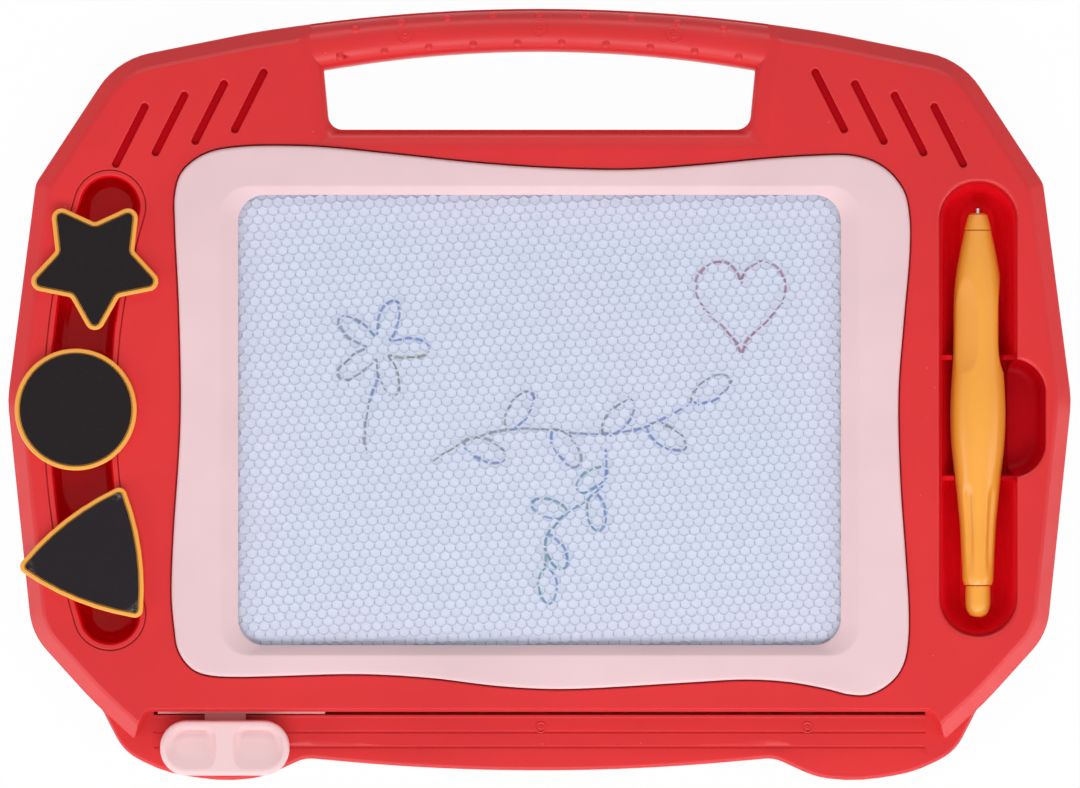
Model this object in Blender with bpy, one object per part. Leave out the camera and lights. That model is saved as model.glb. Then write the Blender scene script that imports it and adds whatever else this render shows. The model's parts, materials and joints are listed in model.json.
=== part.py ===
"""A magnetic drawing board, made of named pieces that seat in one another.

The board lies on its back with the drawing face up (+Z), with +X to the right and +Y towards the
carrying handle. The origin is under the middle of the board, on the plane that it rests on.
Lengths are in metres, and every size is written in MM. Values whose names end in share or shares
are fractions of the size that they multiply.
"""

import math

import bmesh
import bpy
from mathutils import Matrix, Vector

MM = 0.001

# Gaps, cutters and facets
CLEAR = 0.3 * MM
OVERRUN = 3.0 * MM
LEAST_ROUND = 0.2 * MM
FACET_RUN = 26.0 * MM
FACET_TURN = math.radians(24)
FULL_TURN = 2 * math.pi
EDGE_SHARE = 0.995

# Window of the screen, and the bands of housing round it
WINDOW_WIDTH = 180.8 * MM
WINDOW_DEPTH = 135.1 * MM
WINDOW_ROUND = 8.0 * MM
SIDE_BAND = 69.35 * MM
TOP_BAND = 56.4 * MM
BOTTOM_BAND = 41.1 * MM
HALF_W = WINDOW_WIDTH / 2 + SIDE_BAND
HALF_D = (WINDOW_DEPTH + TOP_BAND + BOTTOM_BAND) / 2
WINDOW_Y = (BOTTOM_BAND - TOP_BAND) / 2
WINDOW_TOP = WINDOW_Y + WINDOW_DEPTH / 2
WINDOW_FOOT = WINDOW_Y - WINDOW_DEPTH / 2

# Heights and walls of the two shells
BACK_HEIGHT = 6.0 * MM
BACK_FLOOR = 2.0 * MM
LEDGE_TOP = 9.0 * MM
FACE_TOP = 20.0 * MM
WALL = 2.0 * MM
BEVEL_WIDTH = 5.2 * MM
BEVEL_DROP = 4.2 * MM
BEVEL_SHARES = ((0, 1), (0.05, 1), (0.72, 0.15), (1, 0))
SLIM_SHARE = 0.22
BACK_EDGE = 2.4 * MM
BACK_EDGE_SHARES = ((1, 0), (0.3, 0.35), (0, 1))
LEDGE_EDGE = 1.2 * MM
LEDGE_EDGE_SHARES = ((0, 1), (0.25, 0.3), (1, 0))

# Outline of the raised frame: places in shares of the half width and half depth
SIDE_SHARES = ((0.844, -0.788), (0.9555, -0.619), (1.0022, -0.014), (0.948, 0.546),
               (0.795, 0.866), (0.538, 0.937))
SIDE_ROUNDS = (60.0 * MM, 20.0 * MM, 30.0 * MM, 6.0 * MM, 24.0 * MM, 200.0 * MM)
CROWN_SHARE = 1.0428
CROWN_ROUND = 520.0 * MM
FRAME_FOOT = 20.1 * MM
RECESS_PAST = 27.2 * MM
RECESS_HALF = WINDOW_WIDTH / 2 + RECESS_PAST
RECESS_ROUND = 3.0 * MM
TIP_OUT = 4.1 * MM
TIP_DROP = 7.8 * MM
TIP_ROUND = 2.5 * MM
RECESS_EDGES = (-2, -1, 0)
SLOT_Y = WINDOW_FOOT - FRAME_FOOT

# Outline of the lower ledge with its two lobes
LEDGE_SHARES = ((0.441, -0.943), (0.5196, -0.992), (0.5915, -1.006), (0.707, -0.98),
                (0.782, -0.923), (0.822, -0.817))
LEDGE_ROUNDS = (10.0 * MM, 30.0 * MM, 60.0 * MM, 40.0 * MM, 15.0 * MM, 4.0 * MM)
LEDGE_MIDDLE_SHARE = -0.994
LEDGE_MIDDLE_ROUND = 640.0 * MM
LEDGE_INNER_SHARES = (0.789, -0.722)

# Slot, rail and grooves of the ledge
SLOT_END_WALL = 1.7 * MM
SLOT_HALF = RECESS_HALF - SLOT_END_WALL
SLOT_GAP = 0.9 * MM
SLOT_TOP = 12.6 * MM
RAIL_WIDTH = 0.9 * MM
RAIL_HEIGHT = 0.4 * MM
LEDGE_GROOVE_WIDTH = 0.8 * MM
LEDGE_GROOVE_DEPTH = 0.4 * MM
LEDGE_GROOVE_DROPS = (5.7 * MM, 10.2 * MM)

# Handle: a crowned grip, a little lower than the shoulders that it joins
GRIP = 13.2 * MM
GRIP_SAG = 5.7 * MM
GRIP_CROWN_SHARE = 0.86
GRIP_ROUND = 372.0 * MM
OPENING_DEPTH = 23.6 * MM
OPENING_HALF = 64.8 * MM
OPENING_TAPER = 1.7 * MM
OPENING_TOP_ROUND = 3.0 * MM
OPENING_FOOT_ROUND = 4.5 * MM
OPENING_BEVEL = 3.7 * MM
OPENING_BEVEL_DROP = 3.4 * MM
YOKE_RISE = 24.0 * MM
GRIP_SEAT = 13.6 * MM
GRIP_CEILING = 15.0 * MM
GRIP_TOP = 19.3 * MM
GRIP_EDGE = 0.5 * MM
GRIP_PAST = 5.0 * MM
GRIP_POWER = 2.2
GRIP_STEPS = 12
GRIP_SIDES = 8
NUB_RADIUS = 1.1 * MM
NUB_RISE = 0.6 * MM
NUB_SIDES = 6
NUB_TOP_SHARE = 0.55
# Upper and lower row: count, step, middle nub's distance from the grip's edge, bend of the row
NUB_COUNTS = (9, 10)
NUB_STEPS = (13.8 * MM, 13.3 * MM)
NUB_INSETS = (2.5 * MM, 2.7 * MM)
NUB_BENDS = (360.0 * MM, 414.0 * MM)

# Slanted grooves in the shoulders
GROOVE_COUNT = 4
GROOVE_WIDTH = 2.3 * MM
GROOVE_DEPTH = 1.2 * MM
GROOVE_SHARES = (0.516, 0.836)
GROOVE_STEP = (11.9 * MM, -3.45 * MM)
GROOVE_RUN = (8.94 * MM, -17.7 * MM)

# Screen: back sheet, honeycomb core and front film
PANEL_MARGIN_X = 12.6 * MM
PANEL_MARGIN_Y = 4.0 * MM
PANEL_ROUND = 3.0 * MM
PANEL_SEAT = 3.0 * MM
SHEET_THICK = 0.4 * MM
CORE_THICK = 1.2 * MM
SEAT_Z = 14.7 * MM
SEAT_THICK = 2.0 * MM
SEAT_WALL = 1.8 * MM
SCREEN_TOP = SEAT_Z + 3 * CLEAR + 2 * SHEET_THICK + CORE_THICK
# Honeycomb: from a cell to the next in its row and in the next row. One pocket stands for a group.
CELL_STEP = (3.195 * MM, 0.228 * MM)
CELL_ROW = (1.368 * MM, 2.538 * MM)
CELL_GROUP = 5
CELL_WALL = 0.9 * MM
CELL_DEPTH = 0.7 * MM
CELL_PAST = 2.6 * MM

# Bezel: a wavy outline in shares of its half width and half depth
BEZEL_SIDE = 20.6 * MM
BEZEL_BAND = 13.8 * MM
BEZEL_SHARES = (
    (-0.98, 0.72), (-0.942, 0.925), (-0.83, 0.997), (-0.38, 0.974), (0.12, 0.918), (0.78, 0.972),
    (0.91, 0.95), (0.978, 0.845), (1.0, 0.62), (0.97, 0.1), (0.994, -0.7), (0.975, -0.92),
    (0.915, -0.995), (0.83, -1.002), (0.56, -0.955), (0.08, -0.987), (-0.48, -0.932),
    (-0.81, -0.94), (-0.92, -0.918), (-0.972, -0.85), (-0.994, -0.56), (-0.968, 0.1),
)
BEZEL_TOP = 21.2 * MM
BEZEL_LIP = 0.6 * MM
BEZEL_EDGE = 0.9 * MM
BEZEL_EDGE_SHARES = ((0, 1), (0.3, 0.3), (1, 0))
BEZEL_GAP = 0.4 * MM
BEZEL_PAN_WALL = 1.6 * MM
SLOPE_SIDE = 5.9 * MM
SLOPE_TOP = 2.8 * MM
SLOPE_FOOT = 3.3 * MM
SLOPE_ROUND = 9.0 * MM

# Pen well with its ribs and finger scoop
PEN_LENGTH = 122.8 * MM
PEN_RADIUS = 8.3 * MM
WELL_EDGE = 28.1 * MM
WELL_X = HALF_W - WELL_EDGE
WELL_Y = -4.3 * MM
WELL_SIDE_ROOM = 3.35 * MM
WELL_WIDTH = 2 * (PEN_RADIUS + WELL_SIDE_ROOM)
WELL_END_ROOM = 6.8 * MM
WELL_LENGTH = PEN_LENGTH + 2 * WELL_END_ROOM
WELL_FLOOR = 4.3 * MM
PEN_FLOOR_ROOM = 0.6 * MM
WELL_WALL = 1.7 * MM
WELL_LIP = 0.7 * MM
WELL_SHARES = ((0.56, 0), (0.31, 0.17), (0.13, 0.49), (0.03, 0.9), (0, 0.95))
SCOOP_Y = -7.0 * MM
SCOOP_RADIUS = 21.4 * MM
SCOOP_REACH = 20.5 * MM
SCOOP_FLOOR = 9.0 * MM
SCOOP_SHARES = ((0.3, 0), (0.17, 0.12), (0.04, 0.6), (0, 0.92))
RIB_SPACING = 36.2 * MM
RIB_THICK = 1.4 * MM
RIB_TOP = 16.5 * MM

# Stamp tray, bent along an arc
TRAY_EDGE = 21.85 * MM
TRAY_X = -(HALF_W - TRAY_EDGE)
TRAY_Y = -4.7 * MM
TRAY_BEND = 214.0 * MM
TRAY_RUN = 61.25 * MM
TRAY_TURN = math.asin(TRAY_RUN / TRAY_BEND)
TRAY_HALF = 10.65 * MM
TRAY_LIP = 1.4 * MM
TRAY_LIP_THICK = 0.9 * MM
TRAY_DRAW = 0.85 * MM
TRAY_WALL = 1.2 * MM
TRAY_FLOOR = 3.9 * MM
TRAY_ROUND = 2.5 * MM
TRAY_SEAT_WALL = 2.0 * MM
TRAY_SEAT_THICK = 3.2 * MM
TRAY_ARC_STEPS = 6
TRAY_CAP_STEPS = 8

# Stamps: a body with its handle down in the tray, and a magnetic sheet on top
STAMP_PLATE = 2.4 * MM
STAMP_RIM = 1.6 * MM
STAMP_RECESS = 0.5 * MM
STAMP_SHEET = 0.7 * MM
STAMP_EDGE = 0.5 * MM
HANDLE_RADIUS = 5.4 * MM
HANDLE_SHARES = ((0.72, 0), (0.95, 0.09), (1, 0.22), (0.78, 0.8), (0.86, 1))
HANDLE_SIDES = 14
STAR_Y = 39.2 * MM
STAR_POINTS = 5
STAR_REACH = 23.0 * MM
STAR_INNER = 12.4 * MM
STAR_ROUND = 3.0 * MM
STAR_INNER_ROUND = 1.5 * MM
DISC_Y = -4.5 * MM
DISC_RADIUS = 18.3 * MM
DISC_SIDES = 36
TRIANGLE_Y = -48.3 * MM
TRIANGLE_POINTS = 3
TRIANGLE_REACH = 24.0 * MM
TRIANGLE_ROUND = 4.0 * MM
TRIANGLE_BULGE_SHARE = 0.66
TRIANGLE_BULGE_ROUND = 28.0 * MM
TRIANGLE_ANGLE = math.radians(186)
STAMP_SHIFT = -1.2 * MM

# Pen, tip first: radii of the outside at distances from the tip
PEN_DROP = 1.1 * MM
PEN_TIP_Y = WELL_Y - PEN_DROP + PEN_LENGTH / 2
PEN_AXIS_Z = WELL_FLOOR + PEN_FLOOR_ROOM + PEN_RADIUS
PEN_SIDES = 24
PIN_RADIUS = 0.7 * MM
PIN_SHOWS = 1.5 * MM
PIN_LENGTH = 4.5 * MM
NOSE_LENGTH = 5.0 * MM
NOSE_SHARES = ((0.2, 0), (0.33, 0.1), (0.45, 0.96), (0.445, 1))
SPIGOT_RADIUS = 2.4 * MM
SPIGOT_LENGTH = 5.0 * MM
TAIL_RADIUS = 3.75 * MM
TAIL_LENGTH = 9.3 * MM
TAIL_SHARES = ((1, 0), (1, 0.78), (0.88, 0.93), (0.55, 1))
BARREL_SHARES = (  # radius as a share of the pen's, place as a share of the barrel's length
    (0.46, 0), (0.485, 0.012), (0.805, 0.135), (0.82, 0.175), (0.815, 0.26), (0.845, 0.345),
    (0.9, 0.385), (0.985, 0.43), (1.0, 0.47), (0.975, 0.54), (0.825, 0.69), (0.75, 0.745),
    (0.735, 0.77), (0.66, 0.83), (0.575, 0.95), (0.55, 0.985), (0.5, 1),
)
GRIP_FLAT_SHARE = 0.7
GRIP_FLAT_FROM_SHARE = 0.125
GRIP_FLAT_TO_SHARE = 0.4
FLAT_COUNT = 3
FLUTE_DEPTH = 0.5 * MM
FLUTE_COUNT = 6
FLUTE_FROM_SHARE = 0.75
FLUTE_TO_SHARE = 0.97

# Eraser: carriage in the slot, magnet strip behind the screen, knob on the ledge
FOOT_LENGTH = 50.3 * MM
FOOT_END_GAP = 1.2 * MM
FOOT_DEPTH = 11.0 * MM
CARRIAGE_THICK = 2.5 * MM
CARRIAGE_Z = LEDGE_TOP + RAIL_HEIGHT + CLEAR
BAR_WIDTH = 8.0 * MM
BAR_PAST = 5.5 * MM
MAGNET_WIDTH = 6.0 * MM
MAGNET_END_GAP = 0.4 * MM
KNOB_SHIFT = 4.85 * MM
KNOB_LENGTH = 38.6 * MM
KNOB_DEPTH = 17.1 * MM
KNOB_GAP = 1.95 * MM
KNOB_TOP = 17.0 * MM
KNOB_ROUND = 8.0 * MM
KNOB_EDGE = 1.8 * MM
KNOB_SHARES = ((0.35, 0), (0, 0.25), (0, 1.2), (0.28, 1.72), (1, 2))
KNOB_RIDGE = 4.8 * MM
KNOB_RIM = 2.0 * MM
KNOB_HOLLOW = 3.4 * MM
HOLLOW_SHARES = ((0.5, 1), (0.28, 0.8), (0.1, 0.4), (0, 0))
TONGUE_WIDTH = 12.3 * MM
TONGUE_LENGTH = 12.0 * MM
FOOT_X = -SLOT_HALF + FOOT_END_GAP + FOOT_LENGTH / 2
KNOB_X = FOOT_X - KNOB_SHIFT
KNOB_Y = SLOT_Y - KNOB_GAP - KNOB_DEPTH / 2
GUIDE_THICK = 1.5 * MM
GUIDE_INSET = 3.0 * MM

# Screws and the bosses they hold
SCREW_SHARES = ((0, 0.943), (0.252, 0.927), (-0.252, 0.927), (0.701, 0.791), (-0.701, 0.791),
                (0.801, -0.757), (-0.801, -0.757))
LEDGE_SCREW_SHARES = ((0, -0.86), (0.501, -0.86), (-0.501, -0.86))
SCREW_SHANK = 1.2 * MM
SCREW_HEAD = 2.9 * MM
SCREW_HEAD_THICK = 1.3 * MM
SCREW_LENGTH = 10.0 * MM
LEDGE_SCREW_LENGTH = 5.2 * MM
SCREW_SIDES = 8
BOSS_SIDES = 8
BOSS_WALL = 1.9 * MM
BACK_BOSS_WALL = 1.4 * MM
SINK_DEPTH = 2.6 * MM


def srgb(red, green, blue):
    """A colour given as 0 to 255 screen values, as the linear values a shader takes."""
    values = (red / 255, green / 255, blue / 255)
    return [v / 12.92 if v <= 0.04045 else ((v + 0.055) / 1.055) ** 2.4 for v in values] + [1]


COLOURS = {  # colour, roughness, metallic
    "red": (srgb(219, 56, 58), 0.38, 0),
    "back_red": (srgb(205, 48, 52), 0.45, 0),
    "tray_red": (srgb(196, 10, 32), 0.15, 0),
    "pink": (srgb(240, 208, 212), 0.42, 0),
    "film": (srgb(222, 226, 240), 0.12, 0),
    "core": (srgb(212, 220, 238), 0.6, 0),
    "orange": (srgb(243, 160, 62), 0.35, 0),
    "black": (srgb(42, 37, 40), 0.75, 0),
    "white": (srgb(232, 232, 232), 0.5, 0),
    "steel": (srgb(190, 192, 196), 0.28, 1),
}


def material(name):
    """A Principled material of its own for one piece."""
    colour, roughness, metallic = COLOURS[name]
    made = bpy.data.materials.new(name)
    made.use_nodes = True
    shader = made.node_tree.nodes["Principled BSDF"]
    shader.inputs["Base Color"].default_value = colour
    shader.inputs["Roughness"].default_value = roughness
    shader.inputs["Metallic"].default_value = metallic
    made.diffuse_color = colour
    return made


# Outlines: lists of (x, y) points, anticlockwise


def outline(corners, inset=0.0, bevel=0.0, slim=()):
    """Points round (x, y, rounding) corners, with every edge drawn in by inset and bevel.

    The edges in slim, counted from the first corner, take only a share of bevel.
    """
    count = len(corners)
    narrow = {i % count for i in slim}
    insets = [inset + bevel * (SLIM_SHARE if i in narrow else 1) for i in range(count)]
    spots = [Vector((x, y)) for x, y, _ in corners]
    ways = [(spots[(i + 1) % count] - spots[i]).normalized() for i in range(count)]
    turns, moved, reaches = [], [], []
    for i, (_, _, rounding) in enumerate(corners):
        before, after = ways[i - 1], ways[i]
        turn = math.atan2(before.cross(after), before.dot(after))
        shift = after * insets[i - 1] - before * insets[i]
        moved.append(spots[i] + shift / before.cross(after))
        turns.append(turn)
        drawn_in = (insets[i - 1] + insets[i]) / 2
        drawn = max(rounding - math.copysign(drawn_in, turn), LEAST_ROUND)
        reaches.append(drawn * math.tan(abs(turn) / 2))
    # A rounding is limited by the two edges that it joins.
    limits = [1.0] * count
    for i in range(count):
        after = (i + 1) % count
        length = (moved[after] - moved[i]).dot(ways[i]) * EDGE_SHARE
        limit = min(1.0, length / (reaches[i] + reaches[after]))
        limits[i] = min(limits[i], limit)
        limits[after] = min(limits[after], limit)
    points = []
    for i, (_, _, rounding) in enumerate(corners):
        turn, reach = turns[i], reaches[i] * limits[i]
        start = moved[i] - ways[i - 1] * reach
        radius = math.copysign(reach / math.tan(abs(turn) / 2), turn)
        arm = Vector((ways[i - 1].y, -ways[i - 1].x)) * radius
        steps = max(1, math.ceil(abs(turn) / FACET_TURN), math.ceil(abs(turn) * rounding / FACET_RUN))
        for step in range(steps + 1):
            points.append(start - arm + Matrix.Rotation(turn * step / steps, 2) @ arm)
    return [(p.x, p.y) for p in points]


def mirrored(right, top=(), bottom=()):
    """Anticlockwise corners from those of the right side, listed upwards, and any on the axis."""
    left = [(-x, y, rounding) for x, y, rounding in reversed(right)]
    return [*bottom, *right, *top, *left]


def box(x_low, x_high, y_low, y_high, rounding=0.0):
    """Corners of a rectangle."""
    places = ((x_low, y_low), (x_high, y_low), (x_high, y_high), (x_low, y_high))
    return [(x, y, rounding) for x, y in places]


def circle(radius, sides, x=0.0, y=0.0):
    """Points round a circle."""
    turns = [FULL_TURN * i / sides for i in range(sides)]
    return [(x + radius * math.cos(t), y + radius * math.sin(t)) for t in turns]


def wavy(shares, half_x, half_y, y, inset=0.0, steps=2):
    """A smooth closed curve through points given as shares, drawn in by inset."""
    count = len(shares)
    spots = [Vector((sx * half_x, y + sy * half_y)) for sx, sy in shares]
    curve = []
    for i in range(count):
        p0, p1, p2, p3 = (spots[(i + k - 1) % count] for k in range(4))
        for step in range(steps):
            t = step / steps
            curve.append((p1 * 2 + (p2 - p0) * t + (p0 * 2 - p1 * 5 + p2 * 4 - p3) * t ** 2
                          + (p1 * 3 - p0 - p2 * 3 + p3) * t ** 3) / 2)
    curve.reverse()
    points = []
    for i, spot in enumerate(curve):
        along = (curve[(i + 1) % len(curve)] - curve[i - 1]).normalized()
        points.append((spot.x - along.y * inset, spot.y + along.x * inset))
    return points


def bent_capsule(half_width):
    """The tray's outline: a capsule bent along the tray's arc."""
    middle = TRAY_X + TRAY_BEND

    def spot(radius, turn):
        return middle + radius * math.cos(turn), TRAY_Y + radius * math.sin(turn)

    first, last = math.pi - TRAY_TURN, math.pi + TRAY_TURN
    sweep = [first + (last - first) * i / TRAY_ARC_STEPS for i in range(TRAY_ARC_STEPS + 1)]
    half_turns = [math.pi * i / TRAY_CAP_STEPS for i in range(1, TRAY_CAP_STEPS)]
    points = [spot(TRAY_BEND + half_width, turn) for turn in sweep]
    foot = spot(TRAY_BEND, last)
    points += [(foot[0] + half_width * math.cos(last + t), foot[1] + half_width * math.sin(last + t))
               for t in half_turns]
    points += [spot(TRAY_BEND - half_width, turn) for turn in reversed(sweep)]
    head = spot(TRAY_BEND, first)
    points += [(head[0] - half_width * math.cos(first + t), head[1] - half_width * math.sin(first + t))
               for t in half_turns]
    return points


# Solids


def loft(name, *stacks, colour="red", parent=None):
    """One object whose bodies each join a stack of (outline, height) rings, with flat ends."""
    made = bmesh.new()
    for stack in stacks:
        rows = [[made.verts.new((x, y, z)) for x, y in points] for points, z in stack]
        for lower, upper in zip(rows, rows[1:]):
            for i in range(len(lower)):
                made.faces.new((lower[i - 1], lower[i], upper[i], upper[i - 1]))
        made.faces.new(reversed(rows[0]))
        made.faces.new(rows[-1])
    mesh = bpy.data.meshes.new(name)
    made.to_mesh(mesh)
    made.free()
    mesh.shade_smooth()
    mesh.set_sharp_from_angle(angle=math.radians(28))
    mesh.materials.append(material(colour))
    piece = bpy.data.objects.new(name, mesh)
    piece.parent = parent
    bpy.context.scene.collection.objects.link(piece)
    return piece


def prism(points, low, high):
    """A stack with one outline at two heights."""
    return [(points, low), (points, high)]


def combine(target, tool, operation):
    """Adds a live Boolean to target, and makes its tool a guide that isn't built."""
    step = target.modifiers.new(tool.name, "BOOLEAN")
    step.operation = operation
    step.solver = "EXACT"
    step.object = tool
    tool.hide_render = True
    tool.display_type = "WIRE"


def add(target, *tools):
    for tool in tools:
        combine(target, tool, "UNION")


def cut(target, *tools):
    for tool in tools:
        combine(target, tool, "DIFFERENCE")


def joint_empty(name, x, y, z, turn=0.0):
    """The origin of a body that moves, with its pieces as children."""
    made = bpy.data.objects.new(name, None)
    made.location = (x, y, z)
    made.rotation_euler = (turn, 0, 0)
    bpy.context.scene.collection.objects.link(made)
    return made


# Corner lists of the housing


def side_corners():
    """Right side of the housing, from the lower corner up to the shoulder."""
    return [(sx * HALF_W, sy * HALF_D, rounding)
            for (sx, sy), rounding in zip(SIDE_SHARES, SIDE_ROUNDS)]


def ledge_side():
    """Right half of the ledge's edge, from the waist out and up to the frame."""
    return [(sx * HALF_W, sy * HALF_D, rounding)
            for (sx, sy), rounding in zip(LEDGE_SHARES, LEDGE_ROUNDS)]


def frame_corners():
    """The raised frame, with the recess that the eraser runs along and its two tips."""
    recess = [(RECESS_HALF, SLOT_Y, RECESS_ROUND),
              (RECESS_HALF + TIP_OUT, SLOT_Y - TIP_DROP, TIP_ROUND)]
    crown = (0, CROWN_SHARE * HALF_D, CROWN_ROUND)
    return mirrored(recess + side_corners(), top=[crown])


def ledge_corners():
    """The ledge, reaching back under the frame."""
    middle = (0, LEDGE_MIDDLE_SHARE * HALF_D, LEDGE_MIDDLE_ROUND)
    inner = (LEDGE_INNER_SHARES[0] * HALF_W, LEDGE_INNER_SHARES[1] * HALF_D, OPENING_TOP_ROUND)
    return mirrored(ledge_side() + [inner], bottom=[middle])


def whole_corners():
    """The whole silhouette, which the back shell follows."""
    middle = (0, LEDGE_MIDDLE_SHARE * HALF_D, LEDGE_MIDDLE_ROUND)
    crown = (0, CROWN_SHARE * HALF_D, CROWN_ROUND)
    return mirrored(ledge_side() + side_corners(), top=[crown], bottom=[middle])


def opening_corners():
    """The finger opening of the handle."""
    top = HALF_D - GRIP
    shoulder = (OPENING_HALF, top - GRIP_SAG, OPENING_TOP_ROUND)
    foot = (OPENING_HALF - OPENING_TAPER, top - OPENING_DEPTH, OPENING_FOOT_ROUND)
    return mirrored([foot, shoulder], top=[(0, top + GRIP_SAG * GRIP_CROWN_SHARE, GRIP_ROUND)])


def bevel_rings(extra=0.0, drop=0.0, foot=0.0):
    """Rings of the raised frame up its side and over its bevel, drawn in by extra and lowered."""
    corners = frame_corners()
    rings = [(outline(corners, extra), foot)]
    for across, down in BEVEL_SHARES[1:]:
        points = outline(corners, extra, across * BEVEL_WIDTH, RECESS_EDGES)
        rings.append((points, FACE_TOP - down * BEVEL_DROP - drop))
    return rings


def yoke_rings(spread=0.0, low=0.0):
    """The space between the shoulders, flared over its bevel, with spread as the wall outside it.

    It is the opening with its sides run on past the handle.
    """
    top = HALF_D - GRIP
    out = OPENING_TAPER * YOKE_RISE / (OPENING_DEPTH - GRIP_SAG)
    foot = (OPENING_HALF - OPENING_TAPER, top - OPENING_DEPTH, OPENING_FOOT_ROUND)
    high = (OPENING_HALF + out, top - GRIP_SAG + YOKE_RISE, OPENING_TOP_ROUND)
    corners = mirrored([foot, high])
    rim = -(OPENING_BEVEL + spread)
    return [
        (outline(corners, -spread), low),
        (outline(corners, -spread), FACE_TOP - OPENING_BEVEL_DROP),
        (outline(corners, rim), FACE_TOP + CLEAR),
        (outline(corners, rim), FACE_TOP + OVERRUN),
    ]


def crossing(corner, neighbour):
    """Y at which the rounding of a corner on the axis crosses it."""
    half_turn = math.atan2(corner[1] - neighbour[1], neighbour[0])
    return corner[1] - corner[2] * (1 / math.cos(half_turn) - 1)


def grip_edges(x):
    """Y of the grip's edges at x, towards the opening and outside."""
    inner = opening_corners()
    inner_middle = inner[len(inner) // 2]
    low = crossing(inner_middle, inner[1]) - GRIP_ROUND + math.sqrt(GRIP_ROUND ** 2 - x ** 2)
    outer = frame_corners()
    outer_middle = outer[len(outer) // 2]
    high = crossing(outer_middle, side_corners()[-1]) - CROWN_ROUND + math.sqrt(CROWN_ROUND ** 2 - x ** 2)
    return low, high - GRIP_EDGE


def grip_height(x, y):
    """Height of the grip's crowned top."""
    low, high = grip_edges(x)
    away = min(1.0, abs(2 * (y - low) / (high - low) - 1))
    return GRIP_SEAT + (GRIP_TOP - GRIP_SEAT) * (1 - away ** GRIP_POWER) ** (1 / GRIP_POWER)


def tray_point(y):
    """X of the tray's middle line at a height of the board."""
    return TRAY_X + TRAY_BEND - math.sqrt(TRAY_BEND ** 2 - (y - TRAY_Y) ** 2)


def places(shares):
    return [(sx * HALF_W, sy * HALF_D) for sx, sy in shares]


def panel_box(grow=0.0):
    """Corners of the screen's panel, grown on all sides."""
    half = WINDOW_WIDTH / 2 + PANEL_MARGIN_X + grow
    return box(-half, half, WINDOW_FOOT - PANEL_MARGIN_Y - grow, WINDOW_TOP + PANEL_MARGIN_Y + grow,
               PANEL_ROUND)


def bezel_outline(inset=0.0):
    half_x = WINDOW_WIDTH / 2 + BEZEL_SIDE
    half_y = WINDOW_DEPTH / 2 + BEZEL_BAND
    return wavy(BEZEL_SHARES, half_x, half_y, WINDOW_Y, inset)


# Front shell


def grip_bar():
    """The crowned grip, as sections from end to end that reach into the shoulders."""
    half = OPENING_HALF + GRIP_PAST
    foot = GRIP_SEAT - OVERRUN
    stack = []
    for i in range(GRIP_STEPS + 1):
        x = half * (2 * i / GRIP_STEPS - 1)
        low, high = grip_edges(x)
        low -= CLEAR
        section = [(low, foot), (high, foot)]
        for k in range(GRIP_SIDES + 1):
            y = (low + high) / 2 + (high - low) / 2 * math.cos(math.pi * k / GRIP_SIDES)
            section.append((y, grip_height(x, y)))
        stack.append((section, x))
    bar = loft("grip_bar", stack)
    bar.rotation_euler = (math.pi / 2, 0, math.pi / 2)
    return bar


def nubs():
    """Two rows of grip nubs that follow the handle's edges, seated on its crown."""
    stacks = []
    rows = zip((True, False), NUB_COUNTS, NUB_STEPS, NUB_INSETS, NUB_BENDS)
    for upper, count, step, inset, bend in rows:
        middle = HALF_D - inset if upper else HALF_D - GRIP + inset
        for i in range(count):
            x = (i - (count - 1) / 2) * step
            y = middle - x ** 2 / (2 * bend)
            top = grip_height(x, y) + NUB_RISE
            low = circle(NUB_RADIUS, NUB_SIDES, x, y)
            high = circle(NUB_RADIUS * NUB_TOP_SHARE, NUB_SIDES, x, y)
            stacks.append([(low, top - WALL), (low, top - NUB_RISE), (high, top)])
    return loft("nub_guides", *stacks)


def grooves():
    """Four slanted grooves with round ends in each shoulder."""
    stacks = []
    half = GROOVE_WIDTH / 2
    run = Vector(GROOVE_RUN)
    along = run.normalized()
    across = Vector((-along.y, along.x)) * half
    for side in (1, -1):
        for i in range(GROOVE_COUNT):
            start = Vector((GROOVE_SHARES[0] * HALF_W, GROOVE_SHARES[1] * HALF_D))
            start += Vector(GROOVE_STEP) * i
            head, foot = start - along * half, start + run + along * half
            spots = [head + across, head - across, foot - across, foot + across]
            corners = [(side * p.x, p.y, half) for p in spots]
            if side == 1:
                corners.reverse()
            corners.reverse()
            points = outline(corners)
            stacks.append(prism(points, FACE_TOP - GROOVE_DEPTH, FACE_TOP + OVERRUN))
    return loft("groove_guides", *stacks)


def well_rings(wall=0.0):
    """Rings of the pen well from its floor to its mouth, or of its outside with wall round it."""
    half = WELL_WIDTH / 2
    end = WELL_LENGTH / 2
    corners = box(WELL_X - half, WELL_X + half, WELL_Y - end, WELL_Y + end, half)
    deep = FACE_TOP - WELL_FLOOR
    rings = [(outline(corners, across * half - wall), WELL_FLOOR + up * deep - wall)
             for across, up in WELL_SHARES]
    if wall:
        return rings[:-1]
    rim = outline(corners, -WELL_LIP)
    return rings + [(rim, FACE_TOP + CLEAR), (rim, FACE_TOP + OVERRUN)]


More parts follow.
